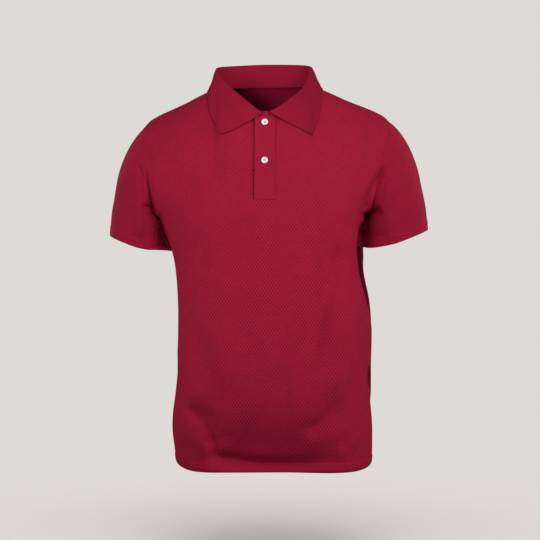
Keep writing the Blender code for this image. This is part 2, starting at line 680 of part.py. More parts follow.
# ------------------------------------------------------------------------------ buttons
def button_mesh(name):
    """A turned disc with a raised rim and a dished middle, pierced by four thread holes."""
    r, h = BUTTON_RADIUS, BUTTON_THICK
    profile = [(0.0, h * 0.62), (r * 0.55, h * 0.62), (r * 0.7, h * 0.97), (r * 0.88, h), (r, h * 0.6), (r * 0.9, 0.0), (0.0, 0.0)]
    line = bpy.data.meshes.new(name)
    line.from_pydata([(x, 0, z) for x, z in profile], [(i, i + 1) for i in range(len(profile) - 1)], [])
    return line


placket_face, placket_normals = placket_strip((-edge, 0.0, edge), np.linspace(PLACKET_W + 0.01, 0.99, 200), PLACKET_PROUD + BAND_WALL)
for number, height in enumerate(BUTTON_Z, start=1):
    row = int(np.argmin(np.abs(placket_face[:, 1, 2] - height)))
    spot, way = placket_face[row, 1], placket_normals[row, 1]
    name = f"button_{number}"
    disc = add_object(name, button_mesh(name), "button", (0, 0, 0))
    turned = disc.modifiers.new("turn", "SCREW")
    turned.axis, turned.steps, turned.render_steps = "Z", 20, 20
    turned.use_merge_vertices, turned.merge_threshold = True, 0.00001
    turned.use_smooth_shade = True
    hole_cutter = bmesh.new()
    for k in range(4):
        made = bmesh.ops.create_cone(hole_cutter, cap_ends=True, segments=6, radius1=BUTTON_HOLE_RADIUS, radius2=BUTTON_HOLE_RADIUS, depth=BUTTON_THICK * 3)
        turn_by = math.pi / 4 + k * math.pi / 2
        bmesh.ops.translate(hole_cutter, verts=made["verts"], vec=(BUTTON_HOLE_OFFSET * math.cos(turn_by), BUTTON_HOLE_OFFSET * math.sin(turn_by), 0))
    cutter_mesh = bpy.data.meshes.new(name + "_holes")
    hole_cutter.to_mesh(cutter_mesh)
    hole_cutter.free()
    cutter = bpy.data.objects.new(name + "_holes", cutter_mesh)
    cutters.objects.link(cutter)
    cutter.hide_render, cutter.display_type = True, "WIRE"
    cutter.parent = disc
    pierce = disc.modifiers.new("thread_holes", "BOOLEAN")
    pierce.object, pierce.operation, pierce.solver = cutter, "DIFFERENCE", "EXACT"
    place = posed((spot + way * GAP * 2)[None])[0]
    disc.location = place
    disc.rotation_mode = "QUATERNION"
    disc.rotation_quaternion = Vector(way).to_track_quat("Z", "Y")
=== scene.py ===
"""Looks of a short-sleeved knitted polo shirt, filled out as if worn, hollow, hanging from its shoulders.

Metres, +Z up, the front faces -Y, +X is the wearer's left, the origin is the middle of the neck base.
Every cloth piece is lofted finely on the same sections as its solid, creased from the tables
below, and given its thickness with rounded edges. Its knit is a material that reads flat positions on the
cloth, in metres, so the stitches keep their size and follow the cut.
"""

import json
import math

import bpy
import numpy as np
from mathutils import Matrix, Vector
from mathutils.bvhtree import BVHTree

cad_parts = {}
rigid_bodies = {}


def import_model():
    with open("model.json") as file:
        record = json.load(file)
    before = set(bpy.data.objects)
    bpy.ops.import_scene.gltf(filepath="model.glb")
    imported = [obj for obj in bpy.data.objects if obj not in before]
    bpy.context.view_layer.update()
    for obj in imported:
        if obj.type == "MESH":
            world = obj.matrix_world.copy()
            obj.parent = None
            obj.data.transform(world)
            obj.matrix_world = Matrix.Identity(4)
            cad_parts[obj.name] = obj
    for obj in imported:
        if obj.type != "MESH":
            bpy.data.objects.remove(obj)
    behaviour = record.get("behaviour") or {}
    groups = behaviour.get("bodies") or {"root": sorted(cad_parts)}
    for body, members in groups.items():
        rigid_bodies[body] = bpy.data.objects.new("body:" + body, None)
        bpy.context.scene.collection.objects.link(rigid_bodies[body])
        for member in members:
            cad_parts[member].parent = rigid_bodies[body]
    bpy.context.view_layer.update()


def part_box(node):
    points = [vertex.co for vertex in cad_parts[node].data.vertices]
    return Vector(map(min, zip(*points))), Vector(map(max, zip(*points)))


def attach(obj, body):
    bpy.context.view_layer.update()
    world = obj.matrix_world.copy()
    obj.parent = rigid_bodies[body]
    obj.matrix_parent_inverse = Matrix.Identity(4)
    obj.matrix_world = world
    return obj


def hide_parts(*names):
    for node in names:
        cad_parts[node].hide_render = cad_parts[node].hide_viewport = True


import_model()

# ------------------------------------------------------------------------------ sizes
WALL = 0.0015  # body and sleeve knit
BAND_WALL = 0.0021  # collar, placket, cuff and hem bands
GAP = 0.0003

HEM_Z = -0.706
HEM_SIDE_RISE = 0.0100
HEM_DIP = 0.0020
HEM_BAND = 0.016
CUFF_BAND = 0.016
HALF_PANEL = 0.244
ARMPIT_Z = -0.240

NECK_HALF_WIDTH = 0.083
NECK_FRONT = 0.097
NECK_BACK = 0.072
NECK_FRONT_DROP = 0.0635
NECK_BACK_RISE = 0.004
SHOULDER_Y = 0.003
NECK_U = 0.35

PLACKET_HALF_WIDTH = 0.0175
PLACKET_END_Z = -0.2138
PLACKET_PROUD = 0.0003

BUTTON_RADIUS = 0.0059
BUTTON_THICK = 0.0026
BUTTON_Z = (-0.0748, -0.1438)

ROLL_RADIUS = 0.0027
COLLAR_LEAN = 0.0048
LEAF_CLEAR = 0.0040
PLACKET_EXTRA = 0.0016

CUFF_Y, CUFF_Z = -0.0040, -0.2862
CUFF_LENGTHWISE = (-0.0110, 0.0143)
CUFF_FORWARD = (0.0, -0.0530, -0.0098)
SLEEVE_LIFT = 0.30  # the finished sleeve is sewn closer to the body's cloth than its solid
SLEEVE_CLEAR = 0.0005
SLEEVES = {"left": (1, 0.2372, 0.0570), "right": (-1, 0.2360, 0.0525)}

TORSO = np.array([
    # z,     sides_x, half_width, front, back, squareness
    (-0.7150, 0.0125, 0.1800, 0.1030, 0.1080, 2.45),
    (-0.6900, 0.0123, 0.1815, 0.1010, 0.1085, 2.45),
    (-0.6600, 0.0115, 0.1825, 0.1040, 0.1100, 2.45),
    (-0.6250, 0.0108, 0.1828, 0.1125, 0.1120, 2.45),
    (-0.5800, 0.0105, 0.1805, 0.1195, 0.1110, 2.45),
    (-0.5300, 0.0110, 0.1785, 0.1220, 0.1080, 2.45),
    (-0.4700, 0.0140, 0.1780, 0.1225, 0.1050, 2.45),
    (-0.4000, 0.0126, 0.1762, 0.1225, 0.1060, 2.45),
    (-0.3520, 0.0060, 0.1732, 0.1235, 0.1100, 2.45),
    (-0.3220, 0.0018, 0.1733, 0.1240, 0.1130, 2.45),
    (-0.3000, -0.0015, 0.1755, 0.1246, 0.1150, 2.45),
    (-0.2800, -0.0042, 0.1800, 0.1250, 0.1170, 2.45),
    (-0.2600, -0.0062, 0.1850, 0.1255, 0.1185, 2.45),
    (-0.2400, -0.0070, 0.1915, 0.1258, 0.1190, 2.45),
    (-0.2200, -0.0070, 0.1950, 0.1258, 0.1190, 2.45),
])

ARMHOLE_FRONT = np.array([
    # x,      y,       z,       lean
    (0.1915, 0.0000, -0.2400, 0.0070),
    (0.1985, -0.0290, -0.2340, 0.0070),
    (0.2030, -0.0500, -0.2150, 0.0060),
    (0.2070, -0.0610, -0.1870, 0.0040),
    (0.2095, -0.0590, -0.1520, 0.0010),
    (0.2145, -0.0430, -0.1160, -0.0010),
    (0.2230, -0.0190, -0.0860, 0.0000),
    (0.2265, 0.0030, -0.0735, 0.0000),
])
ARMHOLE_BACK = np.array([
    # x,      y,       z,       lean
    (0.1915, 0.0000, -0.2400, 0.0070),
    (0.1980, 0.0310, -0.2320, 0.0070),
    (0.2025, 0.0530, -0.2110, 0.0065),
    (0.2060, 0.0650, -0.1810, 0.0040),
    (0.2085, 0.0640, -0.1460, 0.0010),
    (0.2140, 0.0490, -0.1120, -0.0010),
    (0.2225, 0.0250, -0.0860, 0.0000),
    (0.2265, 0.0030, -0.0735, 0.0000),
])

SHOULDER = np.array([
    # x,      z
    (0.0830, 0.0000),
    (0.0950, -0.0060),
    (0.1100, -0.0130),
    (0.1250, -0.0200),
    (0.1465, -0.0305),
    (0.1760, -0.0430),
    (0.2020, -0.0545),
    (0.2175, -0.0640),
    (0.2265, -0.0735),
])

SLEEVE_AIM = np.array([
    # round,  out_x,   out_y,  out_z,   in_x,    in_y,    in_z
    (0.000, 0.1620, 0.0000, -0.1480, 0.0160, 0.0000, -0.2000),
    (0.125, 0.1500, -0.0350, -0.1500, 0.0150, -0.0050, -0.1800),
    (0.250, 0.0900, -0.0300, -0.1350, 0.0120, -0.0080, -0.1300),
    (0.375, 0.0450, -0.0150, -0.0900, 0.0060, -0.0040, -0.0900),
    (0.500, -0.0110, 0.0000, -0.0620, -0.0150, 0.0000, -0.0620),
    (0.625, 0.0450, 0.0200, -0.0900, 0.0060, 0.0020, -0.0900),
    (0.750, 0.0900, 0.0350, -0.1350, 0.0120, 0.0020, -0.1300),
    (0.875, 0.1500, 0.0400, -0.1500, 0.0150, 0.0020, -0.1800),
    (1.000, 0.1620, 0.0000, -0.1480, 0.0160, 0.0000, -0.2000),
])
ARMHOLE_FACING = np.array([
    # round, x,    y,     z,     lift
    (0.000, 0.60, 0.00, 0.80, 0.0000),
    (0.100, 0.62, -0.40, 0.65, 0.0016),
    (0.200, 0.60, -0.75, 0.25, 0.0030),
    (0.300, 0.60, -0.80, 0.00, 0.0034),
    (0.400, 0.80, -0.60, 0.00, 0.0036),
    (0.500, 1.00, 0.00, 0.00, 0.0038),
    (0.600, 0.80, 0.60, 0.00, 0.0036),
    (0.700, 0.60, 0.80, 0.00, 0.0034),
    (0.800, 0.60, 0.75, 0.25, 0.0028),
    (0.900, 0.62, 0.40, 0.65, 0.0018),
    (1.000, 0.60, 0.00, 0.80, 0.0000),
])

COLLAR = np.array([
    # round, roll_x, roll_y,  roll_z,  edge_x, edge_y,  edge_z
    (0.000, 0.0055, -0.1005, -0.0585, 0.0790, -0.1040, -0.0975),
    (0.100, 0.0310, -0.0905, -0.0385, 0.0900, -0.0965, -0.0740),
    (0.200, 0.0545, -0.0700, -0.0165, 0.0985, -0.0830, -0.0530),
    (0.320, 0.0750, -0.0400, 0.0040, 0.1035, -0.0560, -0.0330),
    (0.440, 0.0865, -0.0100, 0.0200, 0.1055, -0.0190, -0.0155),
    (0.560, 0.0885, 0.0180, 0.0300, 0.1040, 0.0210, -0.0065),
    (0.680, 0.0780, 0.0440, 0.0365, 0.0950, 0.0560, -0.0020),
    (0.840, 0.0450, 0.0670, 0.0410, 0.0570, 0.0840, 0.0010),
    (1.000, 0.0000, 0.0745, 0.0425, 0.0000, 0.0935, 0.0020),
])

# How each side of the collar lies, beyond that plain form, in millimetres towards +X and up.
COLLAR_SET = {
    1: np.array([
        # round, roll_x, roll_z, edge_x, edge_z
        (0.000, -1.3, 0.5, 1.5, -1.5),
        (0.035, 1.1, -1.8, 1.0, -1.0),
        (0.080, 2.5, -2.5, 0.5, 0.0),
        (0.135, 5.1, -3.5, 0.0, 0.0),
        (0.190, 5.8, -5.6, 0.0, 0.0),
        (0.250, 5.3, -7.1, 0.0, 0.0),
        (0.320, 3.6, -5.6, 0.0, 0.0),
        (0.385, 0.5, -2.9, 0.0, 0.0),
        (0.455, -1.8, -0.4, 0.0, 0.0),
        (0.530, -3.0, 1.3, 0.0, 0.0),
        (0.600, -2.0, 0.6, 0.0, 0.0),
        (0.700, 0.0, 0.0, 0.0, 0.0),
        (1.000, 0.0, 0.0, 0.0, 0.0),
    ]),
    -1: np.array([
        # round, roll_x, roll_z, edge_x, edge_z
        (0.000, -2.9, -0.4, -3.4, 3.0),
        (0.035, -1.8, -3.3, -4.9, 1.2),
        (0.080, -0.9, -2.9, -4.3, 0.0),
        (0.135, 0.7, -3.6, -4.0, -1.0),
        (0.190, 0.9, -3.5, -3.1, -2.3),
        (0.250, 0.9, -3.1, -1.3, -2.0),
        (0.320, 1.3, -2.2, 0.0, -0.5),
        (0.385, 1.3, -0.9, 0.0, 0.0),
        (0.455, 1.3, 0.2, 0.0, 0.0),
        (0.530, 0.9, 2.2, 0.0, 0.0),
        (0.600, 0.5, 1.5, 0.0, 0.0),
        (0.700, 0.0, 0.0, 0.0, 0.0),
        (1.000, 0.0, 0.0, 0.0, 0.0),
    ]),
}

STANCE = np.array([
    # z,     middle_x, tilt
    (-0.710, 0.0020, 0.000),
    (-0.600, 0.0020, 0.002),
    (-0.470, 0.0020, 0.006),
    (-0.400, 0.0020, 0.010),
    (-0.340, 0.0020, 0.014),
    (-0.280, 0.0020, 0.017),
    (-0.150, 0.0020, 0.017),
    (-0.070, 0.0015, 0.017),
    (0.000, -0.0020, 0.015),
    (0.060, -0.0040, 0.010),
])

# How finely each cloth is lofted.
PANEL_COLUMNS = 170
PANEL_ROWS_BELOW = 158
PANEL_ROWS_ABOVE = 100
BAND_ROWS = 9
SLEEVE_ROUND = 220
SLEEVE_ROWS = 138
COLLAR_COLUMNS = 300

# ------------------------------------------------------------------------------ creases
# Each crease is a line in one view of the shirt, in millimetres: (x, z) from the front or back, (y, z)
# from the left (+X) or right (-X). depth is in millimetres along that view, negative for a trough. The
# two widths are to its low side (towards -X or -Y, or down where it runs across) and to its high side.
# One on "both" runs over the armhole seam, and moves body and sleeve alike. One on "cuff" turns a sleeve's
# inner corner back.
CREASES = [
    # on,     view,    line,                                                                depth, low, high, fade in, fade out
    # the front's lower folds: a deep one from the -X side round to the hem, which it hangs over
    ("body", "front", [(-150, -578), (-132, -596), (-112, -612), (-99, -630), (-92, -652), (-80, -672)], -16.0, 10, 25, 0.35, 0.25),
    ("body", "front", [(-104, -650), (-86, -676), (-48, -687), (-8, -692), (61, -692), (104, -688), (160, -678)], -13.0, 16, 13, 0.12, 0.48),
    ("body", "front", [(-92, -646), (-44, -676), (16, -698), (76, -696), (140, -670)], -21.0, 56, 80, 0.22, 0.42),
    ("body", "front", [(-128, -631), (-111, -659), (-97, -680)], 5.0, 15, 10, 0.35, 0.40),
    ("body", "front", [(154, -558), (130, -584), (112, -604), (90, -620), (56, -628)], -9.0, 12, 19, 0.45, 0.30),
    ("body", "front", [(152, -612), (119, -637), (83, -650), (58, -655)], 3.6, 15, 14, 0.35, 0.40),
    ("body", "front", [(184, -630), (150, -662), (124, -682)], 4.0, 12, 13, 0.35, 0.30),
    # a long crest down the +X half, and its trough
    ("body", "front", [(150, -380), (152, -440), (146, -500), (126, -545), (98, -572)], 11.0, 22, 22, 0.40, 0.25),
    ("body", "front", [(142, -282), (126, -345), (106, -410), (95, -470), (80, -520), (66, -566)], -12.0, 24, 18, 0.15, 0.35),
    ("body", "front", [(170, -262), (166, -300), (166, -340)], 4.0, 20, 9, 0.20, 0.45),
    # a softer one down the -X half
    ("body", "front", [(-116, -400), (-90, -457), (-73, -519), (-60, -582)], 8.0, 19, 34, 0.30, 0.35),
    ("body", "front", [(-146, -390), (-124, -457), (-108, -519), (-96, -575)], -4.0, 24, 18, 0.40, 0.40),
    ("body", "front", [(-122, -300), (-124, -340), (-120, -380)], 1.6, 14, 18, 0.40, 0.40),
    ("body", "front", [(-20, -345), (-6, -420), (6, -500), (4, -580)], 1.6, 34, 34, 0.50, 0.50),
    ("body", "front", [(-212, -84), (-188, -68), (-152, -56)], -3.2, 11, 12, 0.25, 0.60),
    ("body", "front", [(216, -82), (200, -66), (178, -52)], -2.6, 11, 11, 0.30, 0.60),
    ("body", "front", [(-186, -212), (-160, -214), (-120, -226)], 1.6, 16, 16, 0.30, 0.60),
    ("body", "front", [(176, -206), (150, -214), (110, -234)], -1.6, 16, 16, 0.30, 0.60),
    ("body", "front", [(60, -170), (96, -206), (118, -250)], -1.6, 18, 18, 0.50, 0.50),
    # the sides: the front drawn in along its edge, and the back standing out behind it
    ("body", "left", [(2, -246), (2, -296), (2, -345), (1, -395), (0, -455)], -23.0, 34, 6, 0.10, 0.55),
    ("body", "left", [(30, -258), (32, -300), (34, -350)], 5.5, 16, 22, 0.30, 0.40),
    ("body", "left", [(2, -510), (1, -540), (0, -566)], -9.0, 24, 5, 0.35, 0.35),
    ("body", "left", [(-30, -500), (-12, -550), (10, -600), (22, -650)], -4.0, 16, 20, 0.40, 0.40),
    ("body", "left", [(44, -420), (36, -500), (20, -580), (12, -660)], 3.2, 20, 20, 0.40, 0.40),
    ("body", "right", [(2, -262), (2, -320), (2, -390), (0, -450)], -4.0, 26, 7, 0.15, 0.45),
    ("body", "right", [(-34, -490), (-8, -550), (18, -620)], -4.5, 18, 20, 0.35, 0.40),
    ("body", "right", [(-46, -560), (-30, -620), (-16, -680)], 2.0, 18, 18, 0.40, 0.40),
    # the back
    ("body", "back", [(126, -320), (108, -400), (82, -480), (54, -545), (36, -590)], -6.5, 24, 30, 0.40, 0.40),
    ("body", "back", [(-130, -345), (-112, -430), (-84, -510), (-52, -570)], -6.0, 28, 24, 0.40, 0.40),
    ("body", "back", [(156, -520), (136, -580), (108, -640), (86, -676)], 5.6, 22, 24, 0.35, 0.35),
    ("body", "back", [(-14, -450), (-6, -540), (6, -620), (12, -680)], -5.0, 26, 32, 0.45, 0.30),
    ("body", "back", [(-158, -565), (-134, -608), (-108, -644), (-86, -672)], -8.5, 12, 17, 0.25, 0.40),
    ("body", "back", [(-90, -652), (-30, -674), (40, -676), (110, -664)], -8.0, 13, 22, 0.25, 0.45),
    ("body", "back", [(-158, -168), (-96, -186), (-30, -196), (10, -190)], -2.8, 18, 22, 0.35, 0.55),
    ("body", "back", [(154, -182), (100, -206), (36, -222)], -2.6, 16, 22, 0.35, 0.55),
    ("body", "back", [(60, -330), (40, -380), (34, -440)], 2.6, 30, 30, 0.50, 0.50),
    # the armhole seams, drawn in from the front: over body and sleeve alike
    ("both", "front", [(216, -149), (208, -163), (200.5, -177), (190.5, -195), (183, -212), (181, -222), (180, -233)], -11.0, 3.5, 8, 0.28, 0.12),
    ("both", "front", [(178, -243), (190, -239), (202, -232), (213, -226)], -24.0, 9, 5, 0.06, 0.25),
    ("both", "front", [(-243, -131), (-229.5, -152), (-219.5, -173), (-210, -195), (-203, -218), (-199, -240)], -6.5, 10, 4, 0.30, 0.10),
    ("both", "front", [(-226, -226), (-214, -224), (-204, -229)], -9.0, 5, 4, 0.30, 0.15),
    ("both", "back", [(216, -146), (206, -172), (198, -200), (190, -232)], -9.0, 5, 12, 0.30, 0.15),
    ("both", "back", [(-238, -140), (-224, -166), (-212, -194), (-202, -230)], -9.0, 12, 5, 0.30, 0.15),
    # the -X sleeve, from the front: drag lines down to the armpit, and its inner side turned back
    ("sleeve", "front", [(-219, -146), (-214, -175), (-208, -204)], -5.0, 3, 4, 0.30, 0.25),
    ("sleeve", "front", [(-229, -160), (-224, -184), (-217, -210)], -2.6, 3, 3.5, 0.35, 0.40),
    ("sleeve", "front", [(-214, -232), (-208, -250), (-202, -272)], -2.5, 3.5, 4.5, 0.25, 0.40),
    ("sleeve", "front", [(-199, -234), (-196, -262), (-192, -300)], -4.0, 9, 10, 0.12, 0.05),
    ("cuff", "front", [(-191, -248), (-188, -306)], -29.0, 12, 9, 0.38, 0.10),
    ("sleeve", "front", [(-255, -172), (-257, -203), (-250, -235)], -3.6, 12, 12, 0.40, 0.45),
    ("sleeve", "front", [(-233, -210), (-228, -250), (-224, -286)], 3.6, 10, 8, 0.35, 0.30),
    ("sleeve", "front", [(-282, -230), (-274, -262), (-262, -288)], 2.0, 12, 12, 0.40, 0.40),
    # the +X sleeve, from the front
    ("sleeve", "front", [(254, -144), (232, -150), (216, -159), (206, -182)], -4.5, 6, 8, 0.50, 0.40),
    ("cuff", "front", [(183, -248), (180, -268), (178, -306)], -26.0, 10, 12, 0.42, 0.10),
    ("sleeve", "front", [(222, -172), (215, -192), (208, -212)], -2.4, 3, 4, 0.40, 0.40),
    ("sleeve", "front", [(258, -178), (242, -208), (222, -240), (208, -268)], -2.6, 11, 13, 0.40, 0.45),
    ("sleeve", "front", [(243, -236), (229, -262), (221, -288)], 3.8, 12, 11, 0.40, 0.30),
    # the backs of the sleeves
    ("sleeve", "back", [(262, -186), (247, -222), (230, -262)], -3.8, 12, 12, 0.40, 0.40),
    ("sleeve", "back", [(214, -232), (205, -256), (198, -290)], -1.2, 10, 9, 0.20, 0.15),
    ("sleeve", "back", [(-260, -196), (-248, -230), (-234, -264)], -3.4, 12, 12, 0.40, 0.40),
    ("sleeve", "back", [(-216, -232), (-206, -258), (-198, -290)], -1.2, 9, 10, 0.20, 0.15),
    # their outer sides
    ("sleeve", "left", [(-14, -150), (-20, -190), (-26, -226)], -2.0, 12, 12, 0.45, 0.45),
    ("sleeve", "right", [(-10, -160), (-16, -200), (-12, -240)], -1.8, 12, 12, 0.45, 0.45),
]

# A slight unevenness all over: wave numbers per metre along x, y and z, phase, and height in millimetres.
RIPPLES = [
    (17.0, 5.0, 6.0, 0.4, 0.32),
    (-23.0, 9.0, 11.0, 2.1, 0.26),
    (31.0, -12.0, 8.0, 4.0, 0.18),
    (9.0, 26.0, -14.0, 1.2, 0.26),
    (-41.0, 17.0, 19.0, 5.3, 0.11),
    (52.0, 21.0, -13.0, 3.3, 0.08),
    (12.0, -7.0, 27.0, 0.9, 0.16),
]


# ------------------------------------------------------------------------------ curves
def spline(knots, values, at):
    """Values between the rows of a table, on a smooth curve through them."""
    knots, values = np.asarray(knots, float), np.asarray(values, float)
    if values.ndim == 1:
        values = values[:, None]
    slope = np.gradient(values, knots, axis=0)
    at = np.clip(np.asarray(at, float), knots[0], knots[-1])
    i = np.clip(np.searchsorted(knots, at, side="right") - 1, 0, len(knots) - 2)
    h = (knots[i + 1] - knots[i])[..., None]
    t = ((at - knots[i])[..., None]) / h
    return (
        (2 * t**3 - 3 * t**2 + 1) * values[i]
        + (t**3 - 2 * t**2 + t) * h * slope[i]
        + (3 * t**2 - 2 * t**3) * values[i + 1]
        + (t**3 - t**2) * h * slope[i + 1]
    )


def hermite(p0, t0, p1, t1, t):
    t = np.asarray(t, float)[..., None]
    return (2 * t**3 - 3 * t**2 + 1) * p0 + (t**3 - 2 * t**2 + t) * t0 + (3 * t**2 - 2 * t**3) * p1 + (t**3 - t**2) * t1


def smoothstep(t):
    t = np.clip(t, 0.0, 1.0)
    return t * t * (3 - 2 * t)


def lengths(points):
    """Running length along a line of points, from 0 to 1, and the whole length."""
    run = np.concatenate([[0.0], np.cumsum(np.linalg.norm(np.diff(points, axis=0), axis=1))])
    return run / run[-1], run[-1]


def along(points, at):
    """Points at shares of a line's length, on a smooth curve through its own points."""
    dense = spline(lengths(points[:, :3])[0], points, np.linspace(0, 1, 400))
    share = lengths(dense[:, :3])[0]
    return np.stack([np.interp(at, share, dense[:, k]) for k in range(points.shape[1])], axis=-1)


def unit(v):
    return v / np.maximum(np.linalg.norm(v, axis=-1, keepdims=True), 1e-12)


# ------------------------------------------------------------------------------ the body's form
def ring_point(side, u, z):
    """Inner face of the body below the armholes. side is -1 for the front and +1 for the back; u runs
    from -1 at the -X side seam through 0 at the middle to +1 at the +X side seam, by length of cloth."""
    middle, half, front, back, square = spline(TORSO[:, 0], TORSO[:, 1:], np.array([z]))[0]
    depth = front if side < 0 else back
    angle = np.linspace(0, math.pi / 2, 241)
    x = half * np.sin(angle) ** (2 / square)
    y = depth * np.cos(angle) ** (2 / square)
    share = lengths(np.stack([x, y], axis=1))[0]
    a = np.abs(u)
    level = z + (HEM_SIDE_RISE * np.where(u > 0, 0.65, 1.0) * smoothstep((a - 0.62) / 0.38) - HEM_DIP * np.cos(a * math.pi / 2) ** 2) * smoothstep((HEM_Z + 0.08 - z) / 0.08)
    return np.stack(
        [middle * smoothstep(a / 0.7) + np.sign(u) * np.interp(a, share, x), side * np.interp(a, share, y), level],
        axis=-1,
    )


def neckline(side, phi):
    """The neckline at an angle from the middle of this side to the shoulder point, on the +X half."""
    reach = NECK_FRONT if side < 0 else NECK_BACK
    level = -NECK_FRONT_DROP * np.cos(phi) ** 1.7 if side < 0 else NECK_BACK_RISE * np.cos(phi) ** 0.8
    y = SHOULDER_Y + (side * reach - SHOULDER_Y) * np.cos(phi)
    return np.stack([NECK_HALF_WIDTH * np.sin(phi), y, level], axis=-1)


def placket_u():
    """The share of the half panel's width that the placket covers at armhole level."""
    edge = ring_point(-1, np.linspace(0, 0.2, 400), ARMPIT_Z)[:, 0]
    return float(np.interp(PLACKET_HALF_WIDTH, edge - edge[0], np.linspace(0, 0.2, 400)))


PLACKET_U = placket_u()


def top_boundary(side, u):
    """Where the column at u ends: on the neckline up to NECK_U, and on the shoulder seam beyond."""
    a = np.abs(u)
    dense = np.linspace(0, math.pi / 2, 600)
    line = neckline(side, dense)
    share = lengths(line)[0]
    pinned = float(np.interp(PLACKET_HALF_WIDTH, line[:, 0], share)) if side < 0 else PLACKET_U / NECK_U
    knot = PLACKET_U
    t = np.where(a <= knot, a / knot * pinned, pinned + (a - knot) / (NECK_U - knot) * (1 - pinned))
    phi = np.interp(np.clip(t, 0, 1), share, dense)
    neck = neckline(side, phi)
    run = np.clip((a - NECK_U) / (1 - NECK_U), 0, 1)
    x = NECK_HALF_WIDTH + (SHOULDER[-1, 0] - NECK_HALF_WIDTH) * run
    shoulder = np.stack([x, np.full(np.shape(x), SHOULDER_Y), spline(SHOULDER[:, 0], SHOULDER[:, 1], x)[..., 0]], axis=-1)
    point = np.where((a <= NECK_U)[..., None], neck, shoulder)
    point[..., 0] *= np.sign(u) + (u == 0)
    return point, phi


def column_point(side, u, w):
    """Inner face of the body above the armhole level, w from 0 there to 1 at the neckline and shoulder."""
    u = np.asarray(u, float)
    foot = ring_point(side, u, ARMPIT_Z)
    head, phi = top_boundary(side, u)
    a = np.abs(u)
    over = np.sin(np.where(a <= NECK_U, phi, math.pi / 2)) ** 1.4
    outward = smoothstep((a - NECK_U) / (1 - NECK_U))
    rise = np.zeros(u.shape + (3,))
    rise[..., 2] = 0.30 - 0.10 * outward
    if side < 0:
        reach = np.stack([0 * a, 0.035 + over * (0.185 - 0.06 * outward), 0.150 - over * 0.140], axis=-1)
    else:
        reach = np.stack([0 * a, -0.085 - over * (0.115 - 0.05 * outward), 0.135 - over * 0.125], axis=-1)
    point = hermite(foot, rise, head, reach, np.full(u.shape, w))
    table = ARMHOLE_FRONT if side < 0 else ARMHOLE_BACK
    line = along(table, np.array([w]))[0]
    rise, reach = np.array([0, 0, 0.20]), np.array([0, -side * 0.155, 0.010])
    for hand in (-1, 1):
        foot = ring_point(side, np.array([hand * 1.0]), ARMPIT_Z)[0]
        head = top_boundary(side, np.array([hand * 1.0]))[0][0]
        plain = hermite(foot, rise, head, reach, np.array(w))
        seam = np.array([hand * (line[0] - hand * line[3]), line[1], line[2]])
        pull = smoothstep((hand * u - 0.45) / 0.55) ** 1.15
        point = point + (seam - plain) * pull[..., None]
    return point


def posed(points):
    """The stance of the whole shirt."""
    drift = spline(STANCE[:, 0], STANCE[:, 1:], points[..., 2])
    out = points.copy()
    out[..., 0] += drift[..., 0]
    out[..., 2] += drift[..., 1] * points[..., 0]
    return out


def grid_normals(grid, closed=False):
    """Unit normals of a grid of points, rows first."""
    if closed:
        wide = np.concatenate([grid[:, -2:-1], grid, grid[:, 1:2]], axis=1)
        across = np.gradient(wide, axis=1)[:, 1:-1]
    else:
        across = np.gradient(grid, axis=1)
    return unit(np.cross(across, np.gradient(grid, axis=0)))


def outward(grid, normals, closed=False):
    """Turns normals so that they point away from the shirt's inside, or out of a closed tube."""
    if closed:
        middle = grid[:, :-1].mean(axis=1, keepdims=True)
    else:
        middle = np.stack([0 * grid[..., 0], 0 * grid[..., 1], np.minimum(grid[..., 2], -0.10)], axis=-1)
    return normals if np.einsum("ijk,ijk->", normals, grid - middle) > 0 else -normals


def placket_row():
    """The row of columns that starts the placket."""
    rows = np.linspace(0.0, 0.3, 301)
    heights = [column_point(-1, np.array([0.0]), w)[0, 2] for w in rows]
    return float(np.interp(PLACKET_END_Z, heights, rows))


PLACKET_W = placket_row()


def panel_grid(side, columns, lower, upper):
    rows = [ring_point(side, columns, z) for z in lower]
    rows += [column_point(side, columns, w) for w in upper]
    return np.array(rows)


def armhole_loop(q, hand):
    """The armhole seam once round from the shoulder: forward and down to the armpit at 0.5, and up the back."""
    q = np.asarray(q, float)
    front = along(ARMHOLE_FRONT, 1 - np.clip(q * 2, 0, 1))
    back = along(ARMHOLE_BACK, np.clip(q * 2 - 1, 0, 1))
    line = np.where((q <= 0.5)[..., None], front, back)
    line[..., 0] -= hand * line[..., 3]
    return line[..., :3]


def sleeve_column(q, t, name):
    """A line down a sleeve, as if it were the +X one: q is its place round, t runs from armhole to cuff edge."""
    hand, middle, half = SLEEVES[name]
    facing = unit(spline(ARMHOLE_FACING[:, 0], ARMHOLE_FACING[:, 1:4], q))
    lift = SLEEVE_LIFT * spline(ARMHOLE_FACING[:, 0], ARMHOLE_FACING[:, 4], q)[..., 0]
    start = armhole_loop(q, hand) + facing * lift[..., None]
    turn = 2 * math.pi * q
    across = np.array([half, *CUFF_LENGTHWISE])
    forward = np.sin(turn)[..., None] * np.array(CUFF_FORWARD) * np.stack([1 + 0 * q, 1 + 0 * q, 1 - 0.45 * np.clip(np.cos(turn), 0, 1)], axis=-1)
    end = np.array([middle, CUFF_Y, CUFF_Z]) + np.cos(turn)[..., None] * across + forward
    aim = spline(SLEEVE_AIM[:, 0], SLEEVE_AIM[:, 1:], q)
    return hermite(start, aim[..., :3], end, aim[..., 3:], t)


